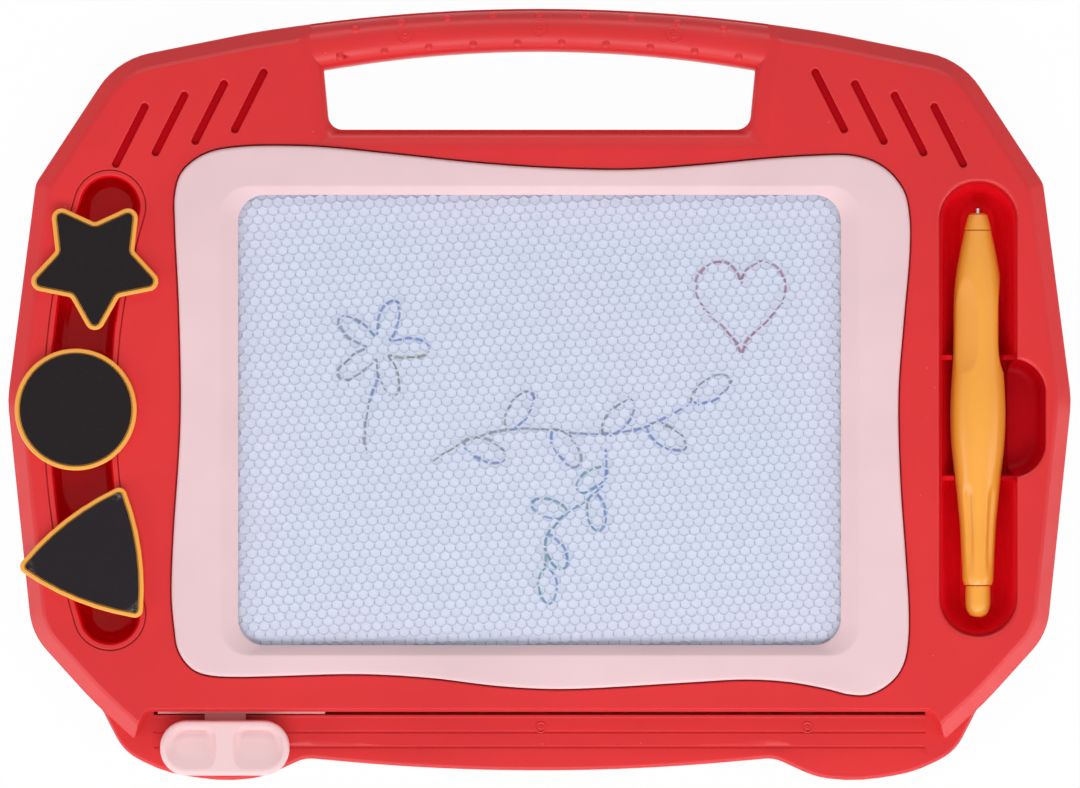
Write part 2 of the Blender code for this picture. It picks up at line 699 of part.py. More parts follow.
def scoop_body(name, wall=0.0):
    """The finger scoop, which opens only the outer side of the well, with wall round it."""
    middle = WELL_X + SCOOP_REACH - SCOOP_RADIUS
    deep = FACE_TOP - SCOOP_FLOOR
    rings = [(circle(SCOOP_RADIUS * (1 - across) + wall, PEN_SIDES, middle, SCOOP_Y),
              SCOOP_FLOOR + up * deep - wall) for across, up in SCOOP_SHARES]
    if not wall:
        rim = circle(SCOOP_RADIUS + WELL_LIP, PEN_SIDES, middle, SCOOP_Y)
        rings += [(rim, FACE_TOP + CLEAR), (rim, FACE_TOP + OVERRUN)]
    scoop = loft(name, rings)
    inner_side = outline(box(WELL_X - HALF_W, WELL_X, -HALF_D, HALF_D))
    cut(scoop, loft(f"{name}_limit", prism(inner_side, 0, FACE_TOP + 2 * OVERRUN)))
    return scoop


def well_cutter():
    """Hollow of the pen well and its scoop, less the two notched ribs."""
    hollow = loft("well_hollow", well_rings())
    add(hollow, scoop_body("scoop_hollow"))
    ribs, notches = [], []
    for side in (1, -1):
        y = SCOOP_Y + side * RIB_SPACING / 2
        plate = box(WELL_X - WELL_WIDTH, WELL_X + WELL_WIDTH, y - RIB_THICK / 2, y + RIB_THICK / 2)
        ribs.append(prism(outline(plate), 0, RIB_TOP))
        radius = pen_radius_at(PEN_TIP_Y - y) + CLEAR
        notch = box(WELL_X - radius, WELL_X + radius, PEN_AXIS_Z - radius, FACE_TOP + OVERRUN)
        notch = [(px, pz, radius if pz < PEN_AXIS_Z else 0) for px, pz, _ in notch]
        notches.append(prism(outline(notch), -y - RIB_THICK, -y + RIB_THICK))
    rib_guide = loft("rib_guides", *ribs)
    notch_guide = loft("notch_guides", *notches)
    notch_guide.rotation_euler = (math.pi / 2, 0, 0)
    cut(rib_guide, notch_guide)
    cut(hollow, rib_guide)
    return hollow


def well_tub():
    """The outside of the pen well and of its scoop, below the face."""
    tub = loft("well_tub", well_rings(WELL_WALL))
    add(tub, scoop_body("scoop_tub", WELL_WALL))
    return tub


def front_shell():
    """Front moulding: raised frame, half the handle, ledge, and the seats of what it carries."""
    foot = BACK_HEIGHT + CLEAR
    ceiling = FACE_TOP - WALL
    inside = ceiling + CLEAR
    shell = loft("front_shell", bevel_rings(foot=foot))
    edge = ledge_corners()
    rim = [(outline(edge, across * LEDGE_EDGE), LEDGE_TOP - down * LEDGE_EDGE)
           for across, down in LEDGE_EDGE_SHARES]
    add(shell, loft("ledge_body", [(outline(edge), foot)] + rim))

    # The grip takes the place of the frame's top between the shoulders.
    cut(shell, loft("yoke_guide", yoke_rings(low=GRIP_SEAT)))
    add(shell, grip_bar())

    opening = opening_corners()
    hollow = loft("frame_hollow", bevel_rings(WALL, WALL, foot - OVERRUN))
    cut(hollow, loft("opening_wall", prism(outline(opening, -WALL), foot - 2 * OVERRUN, FACE_TOP)),
        loft("yoke_wall", yoke_rings(WALL, GRIP_CEILING)))
    cut(shell, hollow)
    cut(shell, loft("ledge_hollow", prism(outline(edge, WALL), foot - OVERRUN, LEDGE_TOP - WALL)))
    cut(shell, loft("opening_guide", prism(outline(opening), foot - OVERRUN, FACE_TOP + OVERRUN)))

    # Pan under the bezel and the screen's seat
    pan_foot = SCREEN_TOP - WALL
    pan = loft("bezel_pan", prism(bezel_outline(-BEZEL_GAP - BEZEL_PAN_WALL), pan_foot, inside))
    seat_edge = outline(panel_box(CLEAR + SEAT_WALL))
    seat = loft("screen_seat", prism(seat_edge, SEAT_Z - SEAT_THICK, pan_foot + CLEAR))
    collar_edge = bent_capsule(TRAY_HALF + TRAY_SEAT_WALL)
    collar = loft("tray_seat", prism(collar_edge, FACE_TOP - TRAY_SEAT_THICK, inside))
    add(shell, pan, seat, collar, well_tub())
    boss = SCREW_SHANK + CLEAR + BOSS_WALL
    low_ceiling = LEDGE_TOP - WALL + CLEAR
    posts = [prism(circle(boss, BOSS_SIDES, x, y), foot, inside) for x, y in places(SCREW_SHARES)]
    posts += [prism(circle(boss, BOSS_SIDES, x, y), foot, low_ceiling)
              for x, y in places(LEDGE_SCREW_SHARES)]
    add(shell, loft("front_bosses", *posts))

    # Pocket, screen rebate and window
    pocket = prism(bezel_outline(-BEZEL_GAP), SCREEN_TOP, FACE_TOP + OVERRUN)
    cut(shell, loft("bezel_pocket", pocket))
    cut(shell, loft("panel_rebate", prism(outline(panel_box(CLEAR)), SEAT_Z, FACE_TOP)))
    cut(shell, loft("seat_window", prism(outline(panel_box(-PANEL_SEAT)), 0, FACE_TOP)))

    # Hole and rebate of the stamp tray
    lip_seat = FACE_TOP - TRAY_LIP_THICK - CLEAR
    rebate = prism(bent_capsule(TRAY_HALF + CLEAR), lip_seat, FACE_TOP + OVERRUN)
    cut(shell, loft("tray_rebate", rebate))
    cut(shell, loft("tray_hole", prism(bent_capsule(TRAY_HALF - TRAY_DRAW + CLEAR), 0, FACE_TOP)))
    cut(shell, well_cutter())

    # Slot of the eraser, rail and grooves of the ledge
    slot = box(-SLOT_HALF, SLOT_HALF, SLOT_Y - SLOT_GAP, SLOT_Y + WALL + CLEAR)
    cut(shell, loft("slot_guide", prism(outline(slot), 0, SLOT_TOP)))
    rail_top = SLOT_Y - SLOT_GAP
    rail = box(-SLOT_HALF, SLOT_HALF, rail_top - RAIL_WIDTH, rail_top)
    add(shell, loft("rail", prism(outline(rail), LEDGE_TOP - RAIL_HEIGHT, LEDGE_TOP + RAIL_HEIGHT)))
    lines = []
    for drop in LEDGE_GROOVE_DROPS:
        line = box(-SLOT_HALF, SLOT_HALF, SLOT_Y - drop - LEDGE_GROOVE_WIDTH, SLOT_Y - drop)
        lines.append(prism(outline(line), LEDGE_TOP - LEDGE_GROOVE_DEPTH, LEDGE_TOP + OVERRUN))
    cut(shell, loft("ledge_lines", *lines), grooves())
    add(shell, nubs())

    # Pilot holes of the screws
    pilot = SCREW_SHANK + CLEAR
    top = SINK_DEPTH + SCREW_LENGTH
    ledge_top = SINK_DEPTH + LEDGE_SCREW_LENGTH
    holes = [prism(circle(pilot, SCREW_SIDES, x, y), 0, top) for x, y in places(SCREW_SHARES)]
    holes += [prism(circle(pilot, SCREW_SIDES, x, y), 0, ledge_top)
              for x, y in places(LEDGE_SCREW_SHARES)]
    cut(shell, loft("pilot_holes", *holes))


# Back shell and screws


def back_shell():
    """Back moulding: floor, walls, the rear half of the handle, bosses and the carriage's guides."""
    corners = whole_corners()
    foot = [(outline(corners, across * BACK_EDGE), up * BACK_EDGE) for across, up in BACK_EDGE_SHARES]
    shell = loft("back_shell", foot + [(outline(corners), BACK_HEIGHT)], colour="back_red")
    hollow = loft("back_hollow", prism(outline(corners, WALL), BACK_FLOOR, BACK_HEIGHT + OVERRUN))
    opening = opening_corners()
    wall = outline(opening, -WALL)
    cut(hollow, loft("back_opening_wall", prism(wall, 0, BACK_HEIGHT + 2 * OVERRUN)))
    cut(shell, hollow)
    flare = [(outline(opening, -BACK_EDGE), -OVERRUN), (outline(opening, -BACK_EDGE), 0),
             (outline(opening, -BACK_EDGE * BACK_EDGE_SHARES[1][0]), BACK_EDGE * BACK_EDGE_SHARES[1][1]),
             (outline(opening), BACK_EDGE), (outline(opening), BACK_HEIGHT + OVERRUN)]
    cut(shell, loft("back_opening_guide", flare))

    spots = places(SCREW_SHARES + LEDGE_SCREW_SHARES)
    sink = SCREW_HEAD + CLEAR
    bosses = [prism(circle(sink + BACK_BOSS_WALL, BOSS_SIDES, x, y), BACK_FLOOR / 2, BACK_HEIGHT)
              for x, y in spots]
    add(shell, loft("back_bosses", *bosses))
    guides = []
    for y in (SLOT_Y + GUIDE_INSET, WINDOW_TOP + PANEL_MARGIN_Y):
        plate = outline(box(-SLOT_HALF, SLOT_HALF, y, y + GUIDE_THICK))
        guides.append(prism(plate, BACK_FLOOR / 2, CARRIAGE_Z - CLEAR))
    add(shell, loft("carriage_guides", *guides))
    sinks = [prism(circle(sink, BOSS_SIDES, x, y), -OVERRUN, SINK_DEPTH) for x, y in spots]
    holes = [prism(circle(SCREW_SHANK + CLEAR, SCREW_SIDES, x, y), 0, BACK_HEIGHT + OVERRUN)
             for x, y in spots]
    cut(shell, loft("screw_sinks", *sinks), loft("screw_holes", *holes))


def screws():
    """Ten pan-head screws from the back, in two lengths."""
    head_top = SINK_DEPTH - CLEAR
    spots = places(SCREW_SHARES + LEDGE_SCREW_SHARES)
    lengths = [SCREW_LENGTH] * len(SCREW_SHARES) + [LEDGE_SCREW_LENGTH] * len(LEDGE_SCREW_SHARES)
    for i, ((x, y), length) in enumerate(zip(spots, lengths)):
        head = circle(SCREW_HEAD, SCREW_SIDES)
        shank = circle(SCREW_SHANK, SCREW_SIDES)
        rings = [(circle(SCREW_HEAD - SCREW_HEAD_THICK / 2, SCREW_SIDES), -SCREW_HEAD_THICK), (head, 0),
                 (shank, 0), (shank, length)]
        screw = loft(f"screw_{i + 1}", rings, colour="steel")
        screw.location = (x, y, head_top)


# Screen and bezel


def cell_corners(step, row):
    """Corners of one cell, each as far from its centre as from those of two cells next to it."""
    around = [step, row, row - step, -step, -row, step - row]
    corners = []
    for a, b in zip(around, around[1:] + around[:1]):
        x = b.y * a.length_squared - a.y * b.length_squared
        y = a.x * b.length_squared - b.x * a.length_squared
        corners.append(Vector((x, y)) / (2 * a.cross(b)))
    return corners


def cell_guide(floor):
    """Pockets of the honeycomb under the window, down to floor."""
    step, row = Vector(CELL_STEP) * CELL_GROUP, Vector(CELL_ROW) * CELL_GROUP
    shape = [corner * (1 - CELL_WALL / step.length) for corner in cell_corners(step, row)]
    half_x, half_y = WINDOW_WIDTH / 2 + CELL_PAST, WINDOW_DEPTH / 2 + CELL_PAST
    count = math.ceil(2 * half_x / row.y)
    stacks = []
    for i in range(-count, count + 1):
        for j in range(-count, count + 1):
            middle = step * i + row * j
            if abs(middle.x) < half_x and abs(middle.y) < half_y:
                points = [(middle.x + p.x, middle.y + p.y + WINDOW_Y) for p in shape]
                stacks.append(prism(points, floor, floor + 2 * CELL_DEPTH))
    guide = loft("cell_guides", *stacks)
    limit = outline(box(-half_x, half_x, WINDOW_Y - half_y, WINDOW_Y + half_y))
    combine(guide, loft("cell_limit", prism(limit, 0, FACE_TOP)), "INTERSECT")
    return guide


def screen():
    """Back sheet, honeycomb core and front film, stacked on the seat."""
    z = SEAT_Z + CLEAR
    points = outline(panel_box())
    for name, thick, colour in (("screen_back_sheet", SHEET_THICK, "white"),
                                ("screen_honeycomb", CORE_THICK, "core"),
                                ("screen_front_film", SHEET_THICK, "film")):
        layer = loft(name, prism(points, z, z + thick), colour=colour)
        if name == "screen_honeycomb":
            cut(layer, cell_guide(z + thick - CELL_DEPTH))
        z += thick + CLEAR


def bezel():
    """Wavy frame whose inner side slopes down to the window."""
    low = SCREEN_TOP + CLEAR
    rings = [(bezel_outline(), low)]
    rings += [(bezel_outline(across * BEZEL_EDGE), BEZEL_TOP - down * BEZEL_EDGE)
              for across, down in BEZEL_EDGE_SHARES]
    frame = loft("screen_bezel", rings, colour="pink")
    half = WINDOW_WIDTH / 2
    window = outline(box(-half, half, WINDOW_FOOT, WINDOW_TOP, WINDOW_ROUND))
    rim = outline(box(-half - SLOPE_SIDE, half + SLOPE_SIDE,
                      WINDOW_FOOT - SLOPE_FOOT, WINDOW_TOP + SLOPE_TOP, SLOPE_ROUND))
    cut(frame, loft("bezel_window", [(window, 0), (window, low + BEZEL_LIP), (rim, BEZEL_TOP),
                                     (rim, BEZEL_TOP + OVERRUN)]))


# Stamp tray and stamps


def tray_rings(half_width, floor):
    """Rings of the tray's rounded foot and straight side, with a given half width and floor."""
    return [(bent_capsule(half_width - TRAY_ROUND), floor),
            (bent_capsule(half_width - TRAY_ROUND / 4), floor + TRAY_ROUND / 2),
            (bent_capsule(half_width), floor + TRAY_ROUND * 2)]


def stamp_tray():
    """Curved insert with a lip that lies flush in the face."""
    body = TRAY_HALF - TRAY_DRAW
    lip_foot = FACE_TOP - TRAY_LIP_THICK
    outer = tray_rings(body, TRAY_FLOOR - TRAY_WALL)
    outer += [(bent_capsule(body), lip_foot), (bent_capsule(TRAY_HALF), lip_foot),
              (bent_capsule(TRAY_HALF), FACE_TOP - CLEAR), (bent_capsule(TRAY_HALF - CLEAR), FACE_TOP)]
    tray = loft("stamp_tray", outer, colour="tray_red")
    mouth = TRAY_HALF - TRAY_LIP
    inner = body - TRAY_WALL
    hollow = tray_rings(inner, TRAY_FLOOR)
    hollow += [(bent_capsule(inner), lip_foot - TRAY_LIP), (bent_capsule(mouth), FACE_TOP),
               (bent_capsule(mouth), FACE_TOP + OVERRUN)]
    cut(tray, loft("tray_hollow", hollow, colour="tray_red"))


def pointed(count, first, outer, inner):
    """Corners of a star from the angle first. outer and inner are each (reach, rounding)."""
    corners = []
    for i in range(2 * count):
        turn = first + math.pi * i / count
        reach, rounding = inner if i % 2 else outer
        corners.append((reach * math.cos(turn), reach * math.sin(turn), rounding))
    return corners


def stamp(name, x, y, shape):
    """A plate with its handle below and a magnetic sheet on it. shape(inset) is its outline."""
    origin = joint_empty(f"{name}_origin", x, y, FACE_TOP + CLEAR)
    rings = [(shape(STAMP_EDGE), 0), (shape(0.0), STAMP_EDGE), (shape(0.0), STAMP_PLATE - STAMP_EDGE),
             (shape(STAMP_EDGE), STAMP_PLATE)]
    body = loft(f"{name}_body", rings, colour="orange", parent=origin)
    length = FACE_TOP - TRAY_FLOOR
    grip = [(circle(HANDLE_RADIUS * wide, HANDLE_SIDES), (up - 1) * length) for wide, up in HANDLE_SHARES]
    grip.append((grip[-1][0], STAMP_EDGE))
    add(body, loft(f"{name}_handle", grip, colour="orange", parent=origin))
    recess = STAMP_PLATE - STAMP_RECESS
    hollow = prism(shape(STAMP_RIM - CLEAR), recess, STAMP_PLATE + OVERRUN)
    cut(body, loft(f"{name}_recess", hollow, colour="orange", parent=origin))
    low = recess + CLEAR
    sheet = prism(shape(STAMP_RIM), low, low + STAMP_SHEET)
    loft(f"{name}_sheet", sheet, colour="black", parent=origin)


def stamps():
    star = pointed(STAR_POINTS, -math.pi / 2, (STAR_REACH, STAR_ROUND), (STAR_INNER, STAR_INNER_ROUND))
    bulge = (TRIANGLE_REACH * TRIANGLE_BULGE_SHARE, TRIANGLE_BULGE_ROUND)
    triangle = pointed(TRIANGLE_POINTS, TRIANGLE_ANGLE, (TRIANGLE_REACH, TRIANGLE_ROUND), bulge)
    shifted = tray_point(DISC_Y) + STAMP_SHIFT, tray_point(TRIANGLE_Y) + STAMP_SHIFT
    stamp("star", tray_point(STAR_Y), STAR_Y, lambda inset: outline(star, inset))
    stamp("disc", shifted[0], DISC_Y, lambda inset: circle(DISC_RADIUS - inset, DISC_SIDES))
    stamp("triangle", shifted[1], TRIANGLE_Y, lambda inset: outline(triangle, inset))


# Pen


def pen_radius_at(distance):
    """Radius of the barrel's round outside at a distance from the pen's tip."""
    start, length = barrel_span()
    share = (distance - start) / length
    for (r0, s0), (r1, s1) in zip(BARREL_SHARES, BARREL_SHARES[1:]):
        if s0 <= share <= s1:
            return PEN_RADIUS * (r0 + (r1 - r0) * (share - s0) / (s1 - s0))
    return PEN_RADIUS


def barrel_span():
    """Where the barrel starts behind the tip, and how long it is."""
    start = PIN_SHOWS + NOSE_LENGTH + CLEAR
    return start, PEN_LENGTH - TAIL_LENGTH - CLEAR - start


def barrel_ring(radius, share):
    """A section of the barrel, with three flats at the grip and flutes towards the tail."""
    flat = radius
    if GRIP_FLAT_FROM_SHARE < share < GRIP_FLAT_TO_SHARE:
        middle = (GRIP_FLAT_FROM_SHARE + GRIP_FLAT_TO_SHARE) / 2
        away = abs(share - middle) / (GRIP_FLAT_TO_SHARE - middle)
        flat = PEN_RADIUS * GRIP_FLAT_SHARE + (radius - PEN_RADIUS * GRIP_FLAT_SHARE) * away ** 4
    fluted = FLUTE_FROM_SHARE < share < FLUTE_TO_SHARE
    points = []
    for i in range(PEN_SIDES):
        turn = FULL_TURN * i / PEN_SIDES
        reach = radius
        for k in range(FLAT_COUNT):
            facing = math.cos(turn - math.pi / 2 - FULL_TURN * k / FLAT_COUNT)
            if facing > 0:
                reach = min(reach, flat / facing)
        if fluted:
            reach -= FLUTE_DEPTH * max(0.0, math.cos(turn * FLUTE_COUNT))
        points.append((reach * math.cos(turn), reach * math.sin(turn)))
    return points


def pen():
    """Magnet pin, nose cap, barrel and tail plug, from the tip down the board."""
    origin = joint_empty("pen_origin", WELL_X, PEN_TIP_Y, PEN_AXIS_Z, math.pi / 2)
    pin = circle(PIN_RADIUS, SCREW_SIDES)
    loft("pen_tip", prism(pin, 0, PIN_LENGTH), colour="steel", parent=origin)

    nose_end = PIN_SHOWS + NOSE_LENGTH
    rings = [(circle(PEN_RADIUS * wide, PEN_SIDES), PIN_SHOWS + along * NOSE_LENGTH)
             for wide, along in NOSE_SHARES]
    spigot = circle(SPIGOT_RADIUS, PEN_SIDES)
    nose = loft("pen_nose", rings + [(spigot, nose_end), (spigot, nose_end + SPIGOT_LENGTH)],
                colour="orange", parent=origin)
    bore = prism(circle(PIN_RADIUS + CLEAR, SCREW_SIDES), 0, PIN_LENGTH + CLEAR)
    cut(nose, loft("pin_bore", bore, parent=origin))

    start, length = barrel_span()
    rings = [(barrel_ring(PEN_RADIUS * wide, along), start + along * length)
             for wide, along in BARREL_SHARES]
    barrel = loft("pen_barrel", rings, colour="orange", parent=origin)
    socket = circle(SPIGOT_RADIUS + CLEAR, PEN_SIDES)
    end = start + length
    cut(barrel, loft("barrel_sockets", prism(socket, start - OVERRUN, start + SPIGOT_LENGTH + CLEAR),
                     prism(socket, end - SPIGOT_LENGTH - CLEAR, end + OVERRUN), parent=origin))

    rings = [(spigot, end + CLEAR - SPIGOT_LENGTH), (spigot, end + CLEAR)]
    rings += [(circle(TAIL_RADIUS * wide, PEN_SIDES), end + CLEAR + along * TAIL_LENGTH)
              for wide, along in TAIL_SHARES]
    loft("pen_tail", rings, colour="orange", parent=origin)


# Eraser


def eraser():
    """Carriage that runs on the guides, its magnet strip, and the knob on its tongue."""
    origin = joint_empty("eraser_origin", KNOB_X, KNOB_Y, CARRIAGE_Z)
    foot_x = FOOT_X - KNOB_X
    slot_y = SLOT_Y - SLOT_GAP + CLEAR - KNOB_Y
    foot = box(foot_x - FOOT_LENGTH / 2, foot_x + FOOT_LENGTH / 2, slot_y, slot_y + FOOT_DEPTH)
    carriage = loft("eraser_carriage", prism(outline(foot), 0, CARRIAGE_THICK), colour="pink", parent=origin)
    bar_end = WINDOW_TOP + BAR_PAST - KNOB_Y
    bar = box(foot_x - BAR_WIDTH / 2, foot_x + BAR_WIDTH / 2, slot_y + FOOT_DEPTH / 2, bar_end)
    tongue = box(-TONGUE_WIDTH / 2, TONGUE_WIDTH / 2, slot_y - TONGUE_LENGTH, slot_y + FOOT_DEPTH / 2)
    bar_body = prism(outline(bar), CLEAR, CARRIAGE_THICK)
    tongue_body = prism(outline(tongue), CLEAR / 2, CARRIAGE_THICK - CLEAR / 2)
    add(carriage, loft("carriage_bar", bar_body, parent=origin),
        loft("carriage_tongue", tongue_body, parent=origin))

    low = CARRIAGE_THICK + CLEAR
    high = SEAT_Z - CARRIAGE_Z
    seat_foot = WINDOW_FOOT - PANEL_MARGIN_Y + PANEL_SEAT
    seat_top = WINDOW_TOP + PANEL_MARGIN_Y - PANEL_SEAT
    strip = box(foot_x - MAGNET_WIDTH / 2, foot_x + MAGNET_WIDTH / 2,
                seat_foot + MAGNET_END_GAP - KNOB_Y, seat_top - MAGNET_END_GAP - KNOB_Y)
    loft("eraser_magnet", prism(outline(strip), low, high), colour="black", parent=origin)

    half_x, half_y = KNOB_LENGTH / 2, KNOB_DEPTH / 2
    corners = box(-half_x, half_x, -half_y, half_y, KNOB_ROUND)
    tall = (KNOB_TOP - CARRIAGE_Z) / 2
    rings = [(outline(corners, across * KNOB_EDGE), up * tall) for across, up in KNOB_SHARES]
    knob = loft("eraser_knob", rings, colour="pink", parent=origin)
    hollows = []
    top = KNOB_TOP - CARRIAGE_Z
    for side in (1, -1):
        near, far = side * KNOB_RIDGE / 2, side * (half_x - KNOB_RIM)
        hollow = box(min(near, far), max(near, far), KNOB_RIM - half_y, half_y - KNOB_RIM,
                     KNOB_ROUND - KNOB_RIM)
        hollows.append([(outline(hollow, across * KNOB_HOLLOW), top - down * KNOB_HOLLOW)
                        for across, down in HOLLOW_SHARES] + [(outline(hollow), top + OVERRUN)])
    socket = box(-TONGUE_WIDTH / 2 - CLEAR, TONGUE_WIDTH / 2 + CLEAR,
                 slot_y - TONGUE_LENGTH - CLEAR, half_y + OVERRUN)
    socket_body = prism(outline(socket), -OVERRUN, CARRIAGE_THICK + CLEAR)
    cut(knob, loft("knob_hollows", *hollows, parent=origin),
        loft("knob_socket", socket_body, parent=origin))


for old in list(bpy.data.objects):
    bpy.data.objects.remove(old)

back_shell()
front_shell()
screws()
screen()
bezel()
stamp_tray()
stamps()
pen()
eraser()
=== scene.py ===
"""The looks of a magnetic drawing board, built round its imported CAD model.

The moulded pieces are made again with fine outlines and rounded edges, and each stands for its CAD
node. The screen gets its honeycomb cells with a few drawn figures. Lengths are in metres, and every
size of the board is written in MM. Values whose names end in share or shares are fractions of
another size.
"""

import json
import math
import random

import bmesh
import bpy
from mathutils import Matrix, Vector, noise

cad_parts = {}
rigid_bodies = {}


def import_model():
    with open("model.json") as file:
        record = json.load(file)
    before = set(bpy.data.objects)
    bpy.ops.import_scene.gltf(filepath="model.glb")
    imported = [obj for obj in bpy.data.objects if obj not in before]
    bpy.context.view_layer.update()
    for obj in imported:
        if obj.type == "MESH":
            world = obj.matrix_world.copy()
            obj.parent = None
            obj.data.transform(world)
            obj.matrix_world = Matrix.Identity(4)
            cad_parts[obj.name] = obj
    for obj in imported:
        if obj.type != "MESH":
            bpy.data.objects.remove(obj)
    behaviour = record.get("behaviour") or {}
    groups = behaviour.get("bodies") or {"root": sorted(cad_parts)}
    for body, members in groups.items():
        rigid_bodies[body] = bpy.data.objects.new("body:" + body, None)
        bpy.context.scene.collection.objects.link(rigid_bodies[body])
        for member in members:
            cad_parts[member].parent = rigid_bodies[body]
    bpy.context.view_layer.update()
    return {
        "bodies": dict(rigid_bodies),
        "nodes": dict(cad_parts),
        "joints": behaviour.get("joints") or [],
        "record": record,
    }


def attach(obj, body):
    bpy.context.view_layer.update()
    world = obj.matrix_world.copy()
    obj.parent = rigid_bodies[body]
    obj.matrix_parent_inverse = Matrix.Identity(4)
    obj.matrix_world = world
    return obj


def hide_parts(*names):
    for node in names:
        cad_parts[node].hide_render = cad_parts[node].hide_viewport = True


MM = 0.001

# Gaps, cutters and facets
CLEAR = 0.3 * MM
HAIR = 0.01 * MM
OVERRUN = 3.0 * MM
LEAST_ROUND = 0.2 * MM
FACET_RUN = 7.0 * MM
FACET_TURN = math.radians(7)
FILLET_STEPS = 4
FULL_TURN = 2 * math.pi
EDGE_SHARE = 0.995
SMOOTH_ANGLE = math.radians(34)

# Window of the screen, and the bands of housing round it
WINDOW_WIDTH = 180.8 * MM
WINDOW_DEPTH = 135.1 * MM
WINDOW_ROUND = 8.0 * MM
SIDE_BAND = 69.35 * MM
TOP_BAND = 56.4 * MM
BOTTOM_BAND = 41.1 * MM
HALF_W = WINDOW_WIDTH / 2 + SIDE_BAND
HALF_D = (WINDOW_DEPTH + TOP_BAND + BOTTOM_BAND) / 2
WINDOW_Y = (BOTTOM_BAND - TOP_BAND) / 2
WINDOW_TOP = WINDOW_Y + WINDOW_DEPTH / 2
WINDOW_FOOT = WINDOW_Y - WINDOW_DEPTH / 2

# Heights and walls of the two shells
BACK_HEIGHT = 6.0 * MM
BACK_FLOOR = 2.0 * MM
LEDGE_TOP = 9.0 * MM
FACE_TOP = 20.0 * MM
WALL = 2.0 * MM
BEVEL_WIDTH = 5.2 * MM
BEVEL_DROP = 4.2 * MM
BEVEL_LINE = ((0.05, 1, 0.9 * MM), (0.78, 0.16, 1.6 * MM), (1, 0, 1.4 * MM))
SLIM_SHARE = 0.22
BACK_EDGE = 2.4 * MM
BACK_RIM = 0.3 * MM
LEDGE_EDGE = 2.0 * MM

# Outline of the raised frame: places in shares of the half width and half depth
SIDE_SHARES = ((0.844, -0.788), (0.9555, -0.619), (1.0011, -0.014), (0.948, 0.546),
               (0.795, 0.866), (0.538, 0.937))
SIDE_ROUNDS = (60.0 * MM, 20.0 * MM, 30.0 * MM, 6.0 * MM, 24.0 * MM, 200.0 * MM)
CROWN_SHARE = 1.0428
CROWN_ROUND = 520.0 * MM
FRAME_FOOT = 20.1 * MM
RECESS_HALF = WINDOW_WIDTH / 2 + 27.2 * MM
RECESS_ROUND = 3.0 * MM
TIP_OUT = 4.1 * MM
TIP_DROP = 8.5 * MM
TIP_ROUND = 0.9 * MM
SLOT_Y = WINDOW_FOOT - FRAME_FOOT
LEDGE_SHARES = ((0.441, -0.9395), (0.5196, -0.9885), (0.5915, -1.0015), (0.707, -0.9765),
                (0.782, -0.923), (0.822, -0.817))
LEDGE_ROUNDS = (10.0 * MM, 30.0 * MM, 60.0 * MM, 40.0 * MM, 15.0 * MM, 4.0 * MM)
LEDGE_MIDDLE_SHARE = -0.994
LEDGE_MIDDLE_ROUND = 640.0 * MM
LEDGE_INNER_SHARES = (0.789, -0.722)
LEDGE_INNER_ROUND = 3.0 * MM

# Slot, rail, lines and ejector marks of the ledge
SLOT_HALF = RECESS_HALF - 1.7 * MM
SLOT_GAP = 0.9 * MM
SLOT_TOP = 12.6 * MM
RAIL_WIDTH = 0.9 * MM
RAIL_HEIGHT = 0.4 * MM
LEDGE_GROOVE_WIDTH = 0.8 * MM
LEDGE_GROOVE_DEPTH = 0.4 * MM
LEDGE_GROOVE_DROPS = (5.7 * MM, 10.2 * MM)
LEDGE_MARKS = (0.4 * MM, 80.5 * MM, -79.6 * MM)
LEDGE_MARK_Y = -100.0 * MM

# Handle: a rounded bar between the shoulders
GRIP = 13.2 * MM
GRIP_SAG = 5.7 * MM
GRIP_CROWN_SHARE = 0.86
GRIP_ROUND = 372.0 * MM
OPENING_DEPTH = 23.6 * MM
OPENING_HALF = 64.8 * MM
OPENING_TAPER = 1.7 * MM
OPENING_TOP_ROUND = 0.5 * MM
OPENING_FOOT_ROUND = 4.5 * MM
OPENING_BEVEL = 3.7 * MM
OPENING_BEVEL_DROP = 3.4 * MM
YOKE_RISE = 24.0 * MM
YOKE_SPREAD = 7.0 * MM
YOKE_ROUND = 20.0 * MM
YOKE_LINE = ((0, 3.1, 1.2), (1.5, 1.05, 3.2), (5.2, 0, 8.0))
GRIP_SEAT = 13.6 * MM
GRIP_CEILING = 15.0 * MM
GRIP_TOP = 19.3 * MM
GRIP_EDGE = 0.7 * MM
GRIP_PAST = 5.0 * MM
GRIP_POWER = 2.2
GRIP_STEPS = 64
GRIP_SIDES = 28
NUB_RADIUS = 1.1 * MM
NUB_RISE = 0.55 * MM
NUB_LINE = ((1.1, -1.6), (1.04, 0.05), (0.9, 0.6), (0.62, 0.9), (0.25, 1.0))
NUB_SIDES = 20
NUB_COUNTS = (9, 10)
NUB_STEPS = (13.8 * MM, 13.3 * MM)
NUB_INSETS = (2.5 * MM, 2.7 * MM)
NUB_BENDS = (360.0 * MM, 414.0 * MM)
MARK_SPOTS = ((-40.3 * MM, 107.8 * MM), (0, 109.7 * MM), (40.3 * MM, 107.8 * MM))
MARK_RINGS = (2.4 * MM, 0.6 * MM)
LEDGE_RINGS = (1.5 * MM, 0.4 * MM)
RING_SIDES = 40
MARK_WIRE = 0.26 * MM
WIRE_SIDES = 8
WIRE_RISE_SHARE = 0.9

# Slanted grooves in the shoulders
GROOVE_COUNT = 4
GROOVE_WIDTH = 2.3 * MM
GROOVE_DEPTH = 1.3 * MM
GROOVE_SHARES = (0.518, 0.831)
GROOVE_STEP = (11.9 * MM, -3.45 * MM)
GROOVE_RUN = (8.64 * MM, -17.1 * MM)
GROOVE_RIM = 0.45 * MM
GROOVE_FLOOR_ROUND = 0.3 * MM

